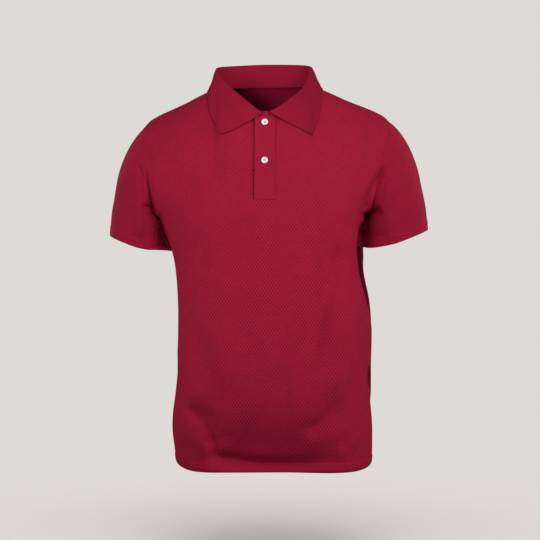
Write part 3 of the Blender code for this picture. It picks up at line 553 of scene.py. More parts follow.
def sleeve_rings(name, start, end, rows):
    """Rings of the sleeve, from start along its cloth from the armhole to end back from the cuff edge.
    The grid begins and ends at the underarm. Also gives each point's distance from the armhole, and its
    height over the cuff's edge, less than nothing."""
    q = (0.5 + np.linspace(0, 1, SLEEVE_ROUND + 1)) % 1.0
    t = np.linspace(0, 1, 240)
    rings, down, height = [], [], []
    for turn in q:
        line = sleeve_column(np.full(t.shape, turn), t, name)
        share, whole = lengths(line)
        if start is None:
            want = 1 - np.linspace(CUFF_BAND + 0.0006, BAND_WALL / 2, rows) / whole
        else:
            want = start / whole + (1 - (end + start) / whole) * np.linspace(0, 1, rows)
        rings.append(np.stack([np.interp(want, share, line[:, k]) for k in range(3)], axis=-1))
        down.append(want * whole)
        height.append((want - 1) * whole)
    rings[-1], down[-1], height[-1] = rings[0], down[0], height[0]
    return np.array(rings).transpose(1, 0, 2), np.array(down).T, np.array(height).T


# ------------------------------------------------------------------------------ creases and unevenness
VIEWS = {
    # view: (axis across, facing axis, facing sign)
    "front": (0, 1, -1.0),
    "back": (0, 1, 1.0),
    "left": (1, 0, 1.0),
    "right": (1, 0, -1.0),
}


def creased(points, normals, on, pin):
    """Moves the points of a cloth by the creases on it, and along their normals by a slight unevenness."""
    here = points * 1000.0
    moved = np.zeros(points.shape)
    for kind, view, line, depth, low, high, fade_in, fade_out in CREASES:
        if kind not in (on, "both", "cuff") or (kind == "cuff" and on != "sleeve"):
            continue
        across, axis, sign = VIEWS[view]
        line = np.array(line, float)
        dense = spline(lengths(line)[0], line, np.linspace(0, 1, 40))
        reach = 2.6 * max(low, high)
        flat = here[..., [across, 2]]
        near = (
            (flat[..., 0] > dense[:, 0].min() - reach) & (flat[..., 0] < dense[:, 0].max() + reach)
            & (flat[..., 1] > dense[:, 1].min() - reach) & (flat[..., 1] < dense[:, 1].max() + reach)
            & (sign * (here[..., axis] / (400.0 if kind == "cuff" else 1.0) if kind in ("both", "cuff") else normals[..., axis]) > -0.06)
        )
        spots = flat[near]
        if not len(spots):
            continue
        a, b = dense[:-1], dense[1:]
        run = b - a
        rel = spots[:, None] - a[None]
        s = np.clip(np.einsum("ijk,jk->ij", rel, run) / (run * run).sum(-1), 0, 1)
        away = rel - s[..., None] * run[None]
        dist = np.linalg.norm(away, axis=-1)
        k = dist.argmin(axis=1)
        pick = np.arange(len(spots))
        dist = dist[pick, k]
        share = (k + s[pick, k]) / len(run)
        chord = dense[-1] - dense[0]
        way = np.array([chord[1], -chord[0]])
        if way[0] + 0.35 * way[1] < 0 if abs(way[0]) > abs(way[1]) * 0.5 else way[1] < 0:
            way = -way
        tangent = run[k]
        beside = np.stack([tangent[:, 1], -tangent[:, 0]], axis=1)
        beside *= np.where(beside @ way < 0, -1.0, 1.0)[:, None]
        side_of = np.einsum("ij,ij->i", away[pick, k], beside)
        width = np.where(side_of > 0, high, low)
        ends = smoothstep(share / fade_in) * smoothstep((1 - share) / fade_out)
        if kind == "both":
            free = smoothstep(sign * here[near][:, axis] / 20.0)
        elif kind == "cuff":  # turned back little by little, so that the cloth never doubles
            free = smoothstep((sign * here[near][:, axis] + 22.0) / 46.0) * np.broadcast_to(pin, near.shape)[near]
        else:
            free = smoothstep((sign * normals[near][:, axis] + 0.05) / 0.50) * np.broadcast_to(pin, near.shape)[near]
        moved[near, axis] += sign * depth * np.exp(-((dist / width) ** 1.8)) * ends * free
    uneven = np.zeros(points.shape[:-1])
    for kx, ky, kz, phase, height in RIPPLES:
        uneven += height * np.sin(points[..., 0] * kx * 2 + points[..., 1] * ky * 2 + points[..., 2] * kz * 2 + phase)
    return points + (moved + normals * (uneven * pin)[..., None]) / 1000.0


# ------------------------------------------------------------------------------ meshes
def boundary_loops(faces):
    """The directed edges of a set of faces that no other face shares, as pairs."""
    edges = np.concatenate([np.stack([faces[:, k], faces[:, (k + 1) % 4]], axis=1) for k in range(4)])
    size = int(faces.max()) + 1
    key, back = edges[:, 0] * size + edges[:, 1], edges[:, 1] * size + edges[:, 0]
    return ~np.isin(key, back), edges


def shell(name, inner, thickness, flat, closed=False, keep=None, way=None, relief=None, arc=3, pull=1.0):
    """A cloth of the given thickness on a grid of its inner face's points, with rounded edges. flat gives
    each grid point's place on the cut, keep the cells that exist, way the outward normals before creasing.
    pull is 1 where the rounded edge ends on the grid's own edge, and 0 where it reaches into a seam."""
    rows, cols = inner.shape[:2]
    count = cols - 1 if closed else cols
    normals = grid_normals(inner, closed)
    if way is not None and np.einsum("ijk,ijk->", normals, way) < 0:
        normals = -normals
    thick = np.broadcast_to(np.asarray(thickness, float), (rows, cols))
    ids = np.arange(rows)[:, None] * count + (np.arange(cols) % count)[None]
    wide = np.arange(rows * cols).reshape(rows, cols)

    def quads(table):
        q = np.stack([table[:-1, :-1], table[:-1, 1:], table[1:, 1:], table[1:, :-1]], axis=-1)
        return q[keep] if keep is not None else q.reshape(-1, 4)

    faces, faces_wide = quads(ids), quads(wide)
    first = faces_wide[0]
    p = inner.reshape(-1, 3)
    turn = np.cross(p[first[1]] - p[first[0]], p[first[3]] - p[first[0]]) @ normals.reshape(-1, 3)[first[0]]
    if turn < 0:
        faces, faces_wide = faces[:, ::-1], faces_wide[:, ::-1]
    total = rows * count
    own_inner = inner[:, :count].reshape(-1, 3).copy()
    own_normal = normals[:, :count].reshape(-1, 3)
    own_thick = thick[:, :count].reshape(-1)
    own_outer = own_inner + own_normal * own_thick[:, None]
    # Which way the cloth ends, at each edge point.
    centres = own_inner[faces].mean(axis=1)
    inwards = np.zeros((total, 3))
    for k in range(4):
        np.add.at(inwards, faces[:, k], centres - own_inner[faces[:, k]])
    rim, edges = boundary_loops(faces)
    edges_wide = np.concatenate([np.stack([faces_wide[:, k], faces_wide[:, (k + 1) % 4]], axis=1) for k in range(4)])[rim]
    edges = edges[rim]
    on_edge = np.unique(edges)
    lean = inwards[on_edge]
    lean -= np.einsum("ij,ij->i", lean, own_normal[on_edge])[:, None] * own_normal[on_edge]
    ends = -unit(lean)
    radius = own_thick[on_edge] / 2
    own_inner[on_edge] -= ends * (radius * pull)[:, None]
    own_outer[on_edge] -= ends * (radius * pull)[:, None]
    middle = (own_inner[on_edge] + own_outer[on_edge]) / 2
    arcs = []
    for k in range(1, arc + 1):
        angle = math.pi * k / (arc + 1)
        arcs.append(middle + own_normal[on_edge] * (radius * math.cos(angle))[:, None] + ends * (radius * math.sin(angle))[:, None])
    slot_of = np.full(total, -1)
    slot_of[on_edge] = np.arange(len(on_edge))
    levels = [lambda v: v] + [lambda v, k=k: 2 * total + k * len(on_edge) + slot_of[v] for k in range(arc)] + [lambda v: v + total]
    strips = [np.stack([low(edges[:, 1]), low(edges[:, 0]), up(edges[:, 0]), up(edges[:, 1])], axis=1) for low, up in zip(levels, levels[1:])]
    strip_wide = np.stack([edges_wide[:, 1], edges_wide[:, 0], edges_wide[:, 0], edges_wide[:, 1]], axis=1)
    verts = np.concatenate([own_outer, own_inner] + arcs)
    every = np.concatenate([faces, faces[:, ::-1] + total] + strips)
    every_wide = np.concatenate([faces_wide, faces_wide[:, ::-1]] + [strip_wide] * len(strips))
    used, every = np.unique(every, return_inverse=True)
    every = every.reshape(-1, 4)
    verts = verts[used]
    mesh = bpy.data.meshes.new(name)
    mesh.vertices.add(len(verts))
    mesh.vertices.foreach_set("co", verts.astype(np.float32).ravel())
    mesh.loops.add(every.size)
    mesh.loops.foreach_set("vertex_index", every.astype(np.int32).ravel())
    mesh.polygons.add(len(every))
    mesh.polygons.foreach_set("loop_start", np.arange(0, every.size, 4, dtype=np.int32))
    mesh.update(calc_edges=True)
    mesh.validate()
    uv = mesh.uv_layers.new(name="cloth")
    uv.data.foreach_set("uv", flat.reshape(-1, 2)[every_wide].astype(np.float32).ravel())
    if relief is not None:
        share = np.broadcast_to(relief, (rows, cols))[:, :count].reshape(-1)
        share = np.concatenate([share, share] + [share[on_edge]] * arc)[used]
        mesh.attributes.new("relief", "FLOAT", "POINT").data.foreach_set("value", share.astype(np.float32))
    mesh.shade_smooth()
    made = bpy.data.objects.new(name, mesh)
    bpy.context.scene.collection.objects.link(made)
    return made


def add(a, b):
    return a + b


def running(points, axis):
    """Running length of a grid along an axis."""
    step = np.linalg.norm(np.diff(points, axis=axis), axis=-1)
    pad = [(1, 0), (0, 0)] if axis == 0 else [(0, 0), (1, 0)]
    return np.cumsum(np.pad(step, pad), axis=axis)


# ------------------------------------------------------------------------------ materials
class Nodes:
    """A short way to write a material's nodes."""

    def __init__(self, name):
        self.material = bpy.data.materials.new(name)
        self.material.use_nodes = True
        self.tree = self.material.node_tree
        self.shader = self.tree.nodes["Principled BSDF"]

    def node(self, kind, **settings):
        made = self.tree.nodes.new(kind)
        for key, value in settings.items():
            setattr(made, key, value)
        return made

    def link(self, source, target):
        self.tree.links.new(source, target)

    def math(self, operation, *values):
        made = self.node("ShaderNodeMath", operation=operation)
        for socket, value in zip(made.inputs, values):
            if isinstance(value, (int, float)):
                socket.default_value = value
            else:
                self.link(value, socket)
        return made.outputs[0]

    def ramp(self, value, low, high, to_low=0.0, to_high=1.0, smooth=True):
        made = self.node("ShaderNodeMapRange", interpolation_type="SMOOTHSTEP" if smooth else "LINEAR")
        self.link(value, made.inputs["Value"])
        for key, number in (("From Min", low), ("From Max", high), ("To Min", to_low), ("To Max", to_high)):
            made.inputs[key].default_value = number
        return made.outputs[0]

    def noise(self, scale, detail=2.0, coordinates=None, roughness=0.5):
        made = self.node("ShaderNodeTexNoise")
        made.inputs["Scale"].default_value = scale
        made.inputs["Detail"].default_value = detail
        made.inputs["Roughness"].default_value = roughness
        if coordinates is not None:
            self.link(coordinates, made.inputs["Vector"])
        return made.outputs["Fac"]

    def mix(self, factor, a, b):
        made = self.node("ShaderNodeMix", data_type="RGBA")
        for socket, value in ((made.inputs["Factor"], factor), (made.inputs["A"], a), (made.inputs["B"], b)):
            if isinstance(value, (int, float)):
                socket.default_value = value
            elif isinstance(value, tuple):
                socket.default_value = (*value, 1.0)
            else:
                self.link(value, socket)
        return made.outputs["Result"]

    def bump(self, height, distance, strength=1.0, below=None):
        made = self.node("ShaderNodeBump")
        made.inputs["Distance"].default_value = distance
        made.inputs["Strength"].default_value = strength
        self.link(height, made.inputs["Height"])
        if below is not None:
            self.link(below, made.inputs["Normal"])
        return made.outputs["Normal"]


def cloth_shader(n, rough, sheen):
    n.shader.inputs["Metallic"].default_value = 0.0
    n.shader.inputs["Specular IOR Level"].default_value = 0.10
    n.shader.inputs["Sheen Weight"].default_value = sheen
    n.shader.inputs["Sheen Roughness"].default_value = 0.55
    n.shader.inputs["Sheen Tint"].default_value = (0.62, 0.035, 0.080, 1.0)
    n.shader.inputs["Roughness"].default_value = rough


DOT_ACROSS = 0.0059  # the textured knit: dimples in staggered rows
DOT_DOWN = 0.0042
# The knit's own red, a darker red and a lighter red. The darker red is random darker tone in fibres and blotches, and
# also painted shade in the dimples; the lighter red is painted highlight on the raised loops and knots.
BASE = (0.385, 0.0092, 0.0405)
DARK_TONE_AND_SHADE = (0.105, 0.0035, 0.0165)
PAINTED_HIGHLIGHT = (0.600, 0.0165, 0.0600)


def knit_material(name):
    """Textured tuck knit: rows of small dimples, each half a pitch along from the last, between raised loops."""
    n = Nodes(name)
    cloth = n.node("ShaderNodeUVMap", uv_map="cloth").outputs["UV"]
    split = n.node("ShaderNodeSeparateXYZ")
    n.link(cloth, split.inputs[0])
    across, down = split.outputs["X"], split.outputs["Y"]
    place = n.node("ShaderNodeTexCoord").outputs["Object"]
    # The rows wander by a fraction of a stitch, as knitted rows do.
    wander = n.math("MULTIPLY", n.math("SUBTRACT", n.noise(16.0, 2.0, place), 0.5), 0.0030)
    across = n.math("ADD", across, wander)
    wander = n.math("MULTIPLY", n.math("SUBTRACT", n.noise(11.0, 2.0, place), 0.5), 0.0040)
    down = n.math("ADD", down, wander)
    v = n.math("DIVIDE", n.math("ADD", down, 10.0), DOT_DOWN)
    row = n.math("FLOOR", v)
    odd = n.math("MODULO", row, 2.0)
    u = n.math("ADD", n.math("DIVIDE", n.math("ADD", across, 10.0), DOT_ACROSS), n.math("MULTIPLY", odd, 0.5))
    fu = n.math("MULTIPLY", n.math("SUBTRACT", n.math("FRACT", u), 0.5), DOT_ACROSS * 1000)
    fv = n.math("MULTIPLY", n.math("SUBTRACT", n.math("FRACT", v), 0.5), DOT_DOWN * 1000)
    gap = n.math("SQRT", n.math("ADD", n.math("MULTIPLY", fu, fu), n.math("MULTIPLY", n.math("MULTIPLY", fv, fv), 1.25)))
    dimple = n.ramp(gap, 0.70, 1.85, 1.0, 0.0)
    # Between the dimples of a row the cloth stands up in knots.
    beside = n.math("MULTIPLY", n.math("SUBTRACT", n.math("FRACT", n.math("ADD", u, 0.5)), 0.5), DOT_ACROSS * 1000)
    gap = n.math("SQRT", n.math("ADD", n.math("MULTIPLY", beside, beside), n.math("MULTIPLY", n.math("MULTIPLY", fv, fv), 1.25)))
    knot = n.ramp(gap, 0.50, 1.75, 1.0, 0.0)
    relief = n.node("ShaderNodeAttribute", attribute_name="relief").outputs["Fac"]
    # Some patches are knitted a little slacker than others.
    slack = n.math("MULTIPLY", relief, n.ramp(n.noise(48.0, 3.0, place), 0.34, 0.66, 0.55, 1.30))
    dimple = n.math("MULTIPLY", dimple, slack)
    knot = n.math("MULTIPLY", knot, slack)
    # Raised loops: two legs of each stitch, slanted to either side of its middle.
    loops_u = n.math("MULTIPLY", across, 2 * math.pi / 0.00148)
    loops_v = n.math("MULTIPLY", down, 2 * math.pi / 0.00140)
    zig = n.math("ADD", loops_v, n.math("MULTIPLY", n.math("ABSOLUTE", n.math("SINE", n.math("MULTIPLY", loops_u, 0.5))), 2.2))
    loop = n.math("MULTIPLY", n.math("ADD", n.math("SINE", loops_u), n.math("SINE", zig)), 0.5)
    fibre = n.noise(900.0, 3.0, place)
    patch = n.noise(9.0, 3.0, place)
    shade = n.mix(n.ramp(patch, 0.25, 0.75), tuple(0.94 * c for c in BASE), tuple(1.05 * c for c in BASE))
    shade = n.mix(n.ramp(n.noise(75.0, 3.0, place), 0.34, 0.66, 0.12, 0.0), shade, DARK_TONE_AND_SHADE)
    # Painted highlight: the raised loops are lightened towards the lighter red.
    shade = n.mix(n.ramp(loop, -0.9, 0.9, 0.0, 0.20), shade, PAINTED_HIGHLIGHT)
    # Painted highlight on the raised knots between the dimples.
    shade = n.mix(n.math("MULTIPLY", knot, 0.62), shade, PAINTED_HIGHLIGHT)
    shade = n.mix(n.ramp(fibre, 0.35, 0.70, 0.0, 0.20), shade, DARK_TONE_AND_SHADE)
    # Painted shade: the dimples are darkened towards the darker red.
    shade = n.mix(n.math("MULTIPLY", dimple, 0.60), shade, DARK_TONE_AND_SHADE)
    # Painted shade spread evenly where the dimples show less, so that the cloth's average matches the painted dimple
    # shade elsewhere.
    shade = n.mix(n.ramp(relief, 0.0, 1.0, 0.13, 0.0, False), shade, DARK_TONE_AND_SHADE)
    n.link(shade, n.shader.inputs["Base Color"])
    n.link(n.ramp(fibre, 0.2, 0.8, 0.80, 0.96), n.shader.inputs["Roughness"])
    height = n.math("SUBTRACT", n.math("MULTIPLY", loop, 0.14), dimple)
    height = n.math("ADD", height, n.math("MULTIPLY", knot, 0.6))
    height = n.math("ADD", height, n.math("MULTIPLY", fibre, 0.10))
    n.link(n.bump(height, 0.0005, 0.60), n.shader.inputs["Normal"])
    cloth_shader(n, 0.88, 0.08)
    return n.material


def rib_material(name, pitch=0.00115, edge=None):
    """Plain fine knit, with its wales along the cloth's length."""
    n = Nodes(name)
    cloth = n.node("ShaderNodeUVMap", uv_map="cloth").outputs["UV"]
    split = n.node("ShaderNodeSeparateXYZ")
    n.link(cloth, split.inputs[0])
    across, down = split.outputs["X"], split.outputs["Y"]
    place = n.node("ShaderNodeTexCoord").outputs["Object"]
    wales = n.math("MULTIPLY", across, 2 * math.pi / pitch)
    rows = n.math("MULTIPLY", down, 2 * math.pi / (pitch * 0.8))
    zig = n.math("ADD", rows, n.math("MULTIPLY", n.math("ABSOLUTE", n.math("SINE", n.math("MULTIPLY", wales, 0.5))), 2.4))
    loop = n.math("MULTIPLY", n.math("ADD", n.math("SINE", wales), n.math("SINE", zig)), 0.5)
    fibre = n.noise(1100.0, 3.0, place)
    patch = n.noise(14.0, 3.0, place)
    base = tuple(0.93 * c for c in BASE)
    shade = n.mix(n.ramp(patch, 0.25, 0.75), tuple(0.95 * c for c in base), tuple(1.05 * c for c in base))
    # Painted highlight: the raised loops of the wales are lightened towards the lighter red.
    shade = n.mix(n.ramp(loop, -0.9, 0.9, 0.0, 0.16), shade, PAINTED_HIGHLIGHT)
    shade = n.mix(n.ramp(fibre, 0.35, 0.72, 0.0, 0.20), shade, DARK_TONE_AND_SHADE)
    n.link(shade, n.shader.inputs["Base Color"])
    n.link(n.ramp(fibre, 0.2, 0.8, 0.78, 0.94), n.shader.inputs["Roughness"])
    height = n.math("ADD", n.math("MULTIPLY", loop, 0.30), n.math("MULTIPLY", fibre, 0.25))
    n.link(n.bump(height, 0.0003, 0.8), n.shader.inputs["Normal"])
    cloth_shader(n, 0.86, 0.08)
    return n.material


def thread_material(name, colour):
    n = Nodes(name)
    place = n.node("ShaderNodeTexCoord").outputs["Object"]
    twist = n.noise(1500.0, 2.0, place)
    n.link(n.mix(n.ramp(twist, 0.3, 0.7), tuple(0.85 * c for c in colour), colour), n.shader.inputs["Base Color"])
    n.link(n.bump(twist, 0.0001, 0.6), n.shader.inputs["Normal"])
    n.shader.inputs["Roughness"].default_value = 0.75
    n.shader.inputs["Specular IOR Level"].default_value = 0.25
    return n.material


def button_material(name):
    """Polished white resin with faint cloudy streaks and fine turning marks."""
    n = Nodes(name)
    place = n.node("ShaderNodeTexCoord").outputs["Object"]
    cloud = n.noise(260.0, 3.0, place)
    marks = n.noise(2600.0, 2.0, place)
    n.link(n.mix(n.ramp(cloud, 0.3, 0.7), (0.80, 0.82, 0.83), (0.90, 0.91, 0.91)), n.shader.inputs["Base Color"])
    n.link(n.ramp(marks, 0.3, 0.7, 0.22, 0.34), n.shader.inputs["Roughness"])
    n.link(n.bump(marks, 0.00003, 0.5), n.shader.inputs["Normal"])
    n.shader.inputs["Specular IOR Level"].default_value = 0.5
    n.shader.inputs["Coat Weight"].default_value = 0.25
    n.shader.inputs["Coat Roughness"].default_value = 0.12
    return n.material


KNIT = knit_material("textured_knit")
RIB = rib_material("plain_knit")


def dress(piece, node, material):
    """Puts a piece in the place of its solid, with its finish."""
    piece.data.materials.clear()
    piece.data.materials.append(material)
    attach(piece, "root")
    if node:
        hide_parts(node)
    return piece


# ------------------------------------------------------------------------------ camera
scene = bpy.context.scene
AIM = Vector((0.0074, 0.0, -0.3415))
DISTANCE, AZIMUTH, ELEVATION = 3.2, math.radians(2.0), math.radians(1.0)
lens = bpy.data.cameras.new("camera")
lens.lens, lens.sensor_width = 115.0, 36.0
camera = bpy.data.objects.new("camera", lens)
scene.collection.objects.link(camera)
camera.location = AIM + DISTANCE * Vector((
    math.sin(AZIMUTH) * math.cos(ELEVATION), -math.cos(AZIMUTH) * math.cos(ELEVATION), math.sin(ELEVATION)
))
camera.rotation_euler = (AIM - camera.location).to_track_quat("-Z", "Y").to_euler()
scene.camera = camera

# ------------------------------------------------------------------------------ body panels
PANEL_HEM_Z = HEM_Z + HEM_BAND
LAST_U = 1 - GAP / 2 / HALF_PANEL
LAST_W = 1 - GAP / 2 / 0.22


def fine_columns(side):
    """Columns across a panel, closer together towards its sides, with a pair on the placket's edges."""
    even = np.linspace(-1, 1, PANEL_COLUMNS + 1)
    columns = LAST_U * even * (1.4 - 0.4 * np.abs(even))
    if side < 0:
        for hand in (-1, 1):
            columns[np.argmin(np.abs(columns - hand * PLACKET_U))] = hand * PLACKET_U
    return columns


def panel_pin(columns, lower, upper):
    """How freely each point of a panel moves: not at the armhole, the neckline or the shoulder seam."""
    beside = smoothstep((1 - np.abs(columns)) * HALF_PANEL / 0.014)
    pins = [1 - (1 - beside) * (1 - smoothstep((ARMPIT_Z - z) / 0.022)) for z in lower]
    pins += [beside * smoothstep((1 - w) * 0.22 / 0.016) for w in upper]
    return np.array(pins)


def relief_share(grid):
    """How strongly the dimples show: less towards the sides and on the shoulders, where the cloth is stretched."""
    x, z = grid[..., 0], grid[..., 2]
    side = 1 - 0.55 * smoothstep((np.abs(x - 0.004) - 0.150) / 0.030) * smoothstep((-0.24 - z) / 0.08)
    shoulder = 1 - 0.28 * smoothstep((z + 0.300) / 0.080) - 0.34 * smoothstep((z + 0.115) / 0.060)
    return np.clip(side * shoulder, 0.0, 1.0)


def sleeve_relief(grid, hand):
    """The sleeves' dimples are stretched almost flat, and show a little next to the body."""
    x = hand * grid[..., 0]
    low = 1 - (0.6 if hand > 0 else 0.2) * smoothstep((-0.232 - grid[..., 2]) / 0.025)
    return 0.20 + 0.80 * smoothstep((0.236 - x) / 0.030) * smoothstep((-0.100 - grid[..., 2]) / 0.06) * low


panel_faces = {}
for side, word in ((-1, "front"), (1, "back")):
    columns = fine_columns(side)
    lower = np.linspace(PANEL_HEM_Z + GAP, ARMPIT_Z, PANEL_ROWS_BELOW + 1)[:-1]
    upper = np.linspace(0.0, LAST_W, PANEL_ROWS_ABOVE + 1)
    first_row = None
    if side < 0:
        at = int(np.argmin(np.abs(upper - PLACKET_W)))
        upper[at] = PLACKET_W
        first_row = len(lower) + at
    base = posed(panel_grid(side, columns, lower, upper))
    way = outward(base, grid_normals(base))
    pin = panel_pin(columns, lower, upper)
    grid = creased(base, way, "body", pin)
    middle = len(columns) // 2
    spread = running(base, 1)
    flat = np.stack([spread - spread[:, middle : middle + 1], running(base, 0)], axis=-1)
    keep = None
    if side < 0:
        keep = np.ones((len(grid) - 1, len(columns) - 1), bool)
        a = int(np.argmin(np.abs(columns + PLACKET_U)))
        b = int(np.argmin(np.abs(columns - PLACKET_U)))
        keep[first_row:, a - 1 : b] = False
    panel_faces[side] = (grid, way)
    piece = shell(f"{word}_panel_cloth", grid, WALL, flat, keep=keep, way=way, relief=relief_share(base), pull=0.1)
    dress(piece, f"{word}_panel", KNIT)
    # The hem band carries on below the seam.
    band_z = np.linspace(HEM_Z + BAND_WALL / 2, PANEL_HEM_Z + 0.0006, BAND_ROWS)
    base = posed(panel_grid(side, columns, band_z, ()))
    way = outward(base, grid_normals(base))
    tuck = 0.0024 * (1 - np.clip((band_z - band_z[0]) / 0.006, 0, 1)) ** 2
    band = creased(base, way, "body", np.ones(base.shape[:2])) - way * tuck[:, None, None]
    spread = running(base, 1)
    flat = np.stack([spread - spread[:, middle : middle + 1], running(base, 0)], axis=-1)
    thick = np.full(base.shape[:2], BAND_WALL)
    thick[-3:-1] += 0.00035
    piece = shell(f"hem_band_{word}_cloth", band, thick, flat, way=way, pull=0.0)
    dress(piece, f"hem_band_{word}", RIB)

# ------------------------------------------------------------------------------ sleeves
def panel_tree(first=0.0, step=1):
    """The panels' inner faces from a share of their rows up, facing out."""
    verts, faces = [], []
    for grid, way in panel_faces.values():
        start = len(verts)
        rows_from = int(len(grid) * first)
        part, out = grid[rows_from::step, ::step], way[rows_from::step, ::step]
        high, wide = part.shape[:2]
        turned = np.einsum("ijk,ijk->", grid_normals(part), out) < 0
        verts += [Vector(v) for v in part.reshape(-1, 3)]
        for r in range(high - 1):
            for c in range(wide - 1):
                a = start + r * wide + c
                ring = (a, a + 1, a + wide + 1, a + wide)
                faces.append(ring[::-1] if turned else ring)
    return BVHTree.FromPolygons(verts, faces)


def settled(rings, down, hand, tree, draw=1.0):
    """The sleeve's inner side hangs against the body's side, just clear of it."""
    out = rings.copy()
    x = hand * rings[..., 0]
    low, high = x.min(axis=1, keepdims=True), x.max(axis=1, keepdims=True)
    share = (x - low) / (high - low)
    touch = np.full(x.shape, np.nan)
    for r, c in zip(*np.nonzero((share < 0.55) & (rings[..., 2] < ARMPIT_Z + 0.030))):
        y, z = rings[r, c, 1], rings[r, c, 2]
        hit = tree.ray_cast(Vector((hand * 0.32, y, z)), Vector((-hand, 0, 0)))[0]
        if hit is not None:
            touch[r, c] = hand * hit[0] + 2 * WALL + SLEEVE_CLEAR
    near = ~np.isnan(touch)
    apart = np.where(near, x - touch, 0.0)
    drawn = smoothstep((0.34 - share) / 0.24) * smoothstep((down - 0.003) / 0.012)
    drawn *= smoothstep((ARMPIT_Z + 0.010 - rings[..., 2]) / 0.016) * smoothstep((0.066 - np.abs(rings[..., 1] - 0.002)) / 0.026)
    if hand > 0:  # in front of the seam it stands off instead
        drawn *= 1 - smoothstep((-0.234 - rings[..., 2]) / 0.014) * smoothstep((0.008 - rings[..., 1]) / 0.018)
    moved = np.where(apart < 0, apart, np.clip(apart, 0, 0.020) * drawn * draw)
    out[..., 0] -= hand * np.where(near, moved, 0.0)
    return out


body_side = panel_tree(0.35, 2)
for word, (hand, _, _) in SLEEVES.items():
    flip = np.array([hand, 1, 1])
    for part, start, end, rows in (("sleeve", GAP, CUFF_BAND + GAP, SLEEVE_ROWS), ("cuff_band", None, None, BAND_ROWS)):
        rings, down, height = sleeve_rings(word, start, end, rows)
        base = settled(posed(rings * flip), down, hand, body_side)
        way = outward(base, grid_normals(base, True), True)
        pin = smoothstep(down / 0.007)
        grid = settled(creased(base, way, "sleeve", pin), down, hand, body_side, 0.0)
        spread = running(base, 1)
        half = SLEEVE_ROUND // 2
        flat = np.stack([spread - spread[:, half : half + 1], height], axis=-1)
        if part == "sleeve":
            piece = shell(f"sleeve_{word}_cloth", grid, WALL, flat, closed=True, way=way, relief=sleeve_relief(base, hand), pull=0.1)
            dress(piece, f"sleeve_{word}", KNIT)
        else:
            thick = np.full(base.shape[:2], BAND_WALL)
            thick[1:3] += 0.00030
            piece = shell(f"cuff_band_{word}_cloth", grid, thick, flat, closed=True, way=way, pull=0.0)
            dress(piece, f"cuff_band_{word}", RIB)


# ------------------------------------------------------------------------------ placket
def front_surface(columns, shares):
    grid = posed(panel_grid(-1, np.asarray(columns), (), shares))
    return grid, outward(grid, grid_normals(grid))


EDGE_U = PLACKET_U - GAP / HALF_PANEL
# The upper layer: sewn down on its +X side and at its foot, free on its -X side, where it stands a little proud.
columns = np.linspace(-PLACKET_U, EDGE_U + 0.0020, 27)
shares = np.linspace(PLACKET_W + 0.0012, 1 - GAP / 0.2, 84)
base, way = front_surface(columns, shares)
lift = PLACKET_PROUD + 0.0017 * smoothstep((-columns - PLACKET_U * 0.45) / (PLACKET_U * 0.50))
foot = smoothstep((shares - PLACKET_W) / 0.06)
rise = PLACKET_PROUD + 0.0003 + (lift[None] - PLACKET_PROUD) * (0.35 + 0.65 * foot[:, None])
grid = base + way * rise[..., None]
# Its top reaches up between the collar's ends, leaning in.
TONGUE_X, TONGUE_HALF, TONGUE_HIGH, TONGUE_ROWS = 0.0027, 0.0064, 0.0080, 6
tall = 0.0004 + TONGUE_HIGH * smoothstep((TONGUE_HALF - np.abs(base[-1, :, 0] - TONGUE_X)) / 0.0024)
steps = np.arange(1, TONGUE_ROWS + 1) / TONGUE_ROWS
rising = np.stack([np.zeros((TONGUE_ROWS, len(columns))), steps[:, None] * np.minimum(tall, 0.0045)[None] * 0.8, steps[:, None] * tall[None]], axis=-1)
grid = np.concatenate([grid, grid[-1:] + rising])
base, way = np.concatenate([base, base[-1:] + rising]), np.concatenate([way, np.repeat(way[-1:], TONGUE_ROWS, axis=0)])
flat = np.stack([running(base, 1), running(base, 0)], axis=-1)
placket_top = shell("placket_top_cloth", grid, BAND_WALL, flat, way=way, pull=0.2)
dress(placket_top, "placket_top", RIB)
placket_face = (grid + way * BAND_WALL, way, columns, shares)

columns = np.linspace(-PLACKET_U - 0.016, PLACKET_U - 0.004, 15)
shares_under = np.linspace(PLACKET_W - 0.03, 1 - GAP / 0.2, 64)
base, way = front_surface(columns, shares_under)
grid = base - way * (WALL + 2 * GAP)
flat = np.stack([running(base, 1), running(base, 0)], axis=-1)
placket_under = shell("placket_under_cloth", grid, WALL, flat, way=way)
dress(placket_under, "placket_under", RIB)


# ------------------------------------------------------------------------------ collar
LEAF_BOW = {1: 0.0008, -1: 0.0042}  # how far each leaf's front end bows down of straight


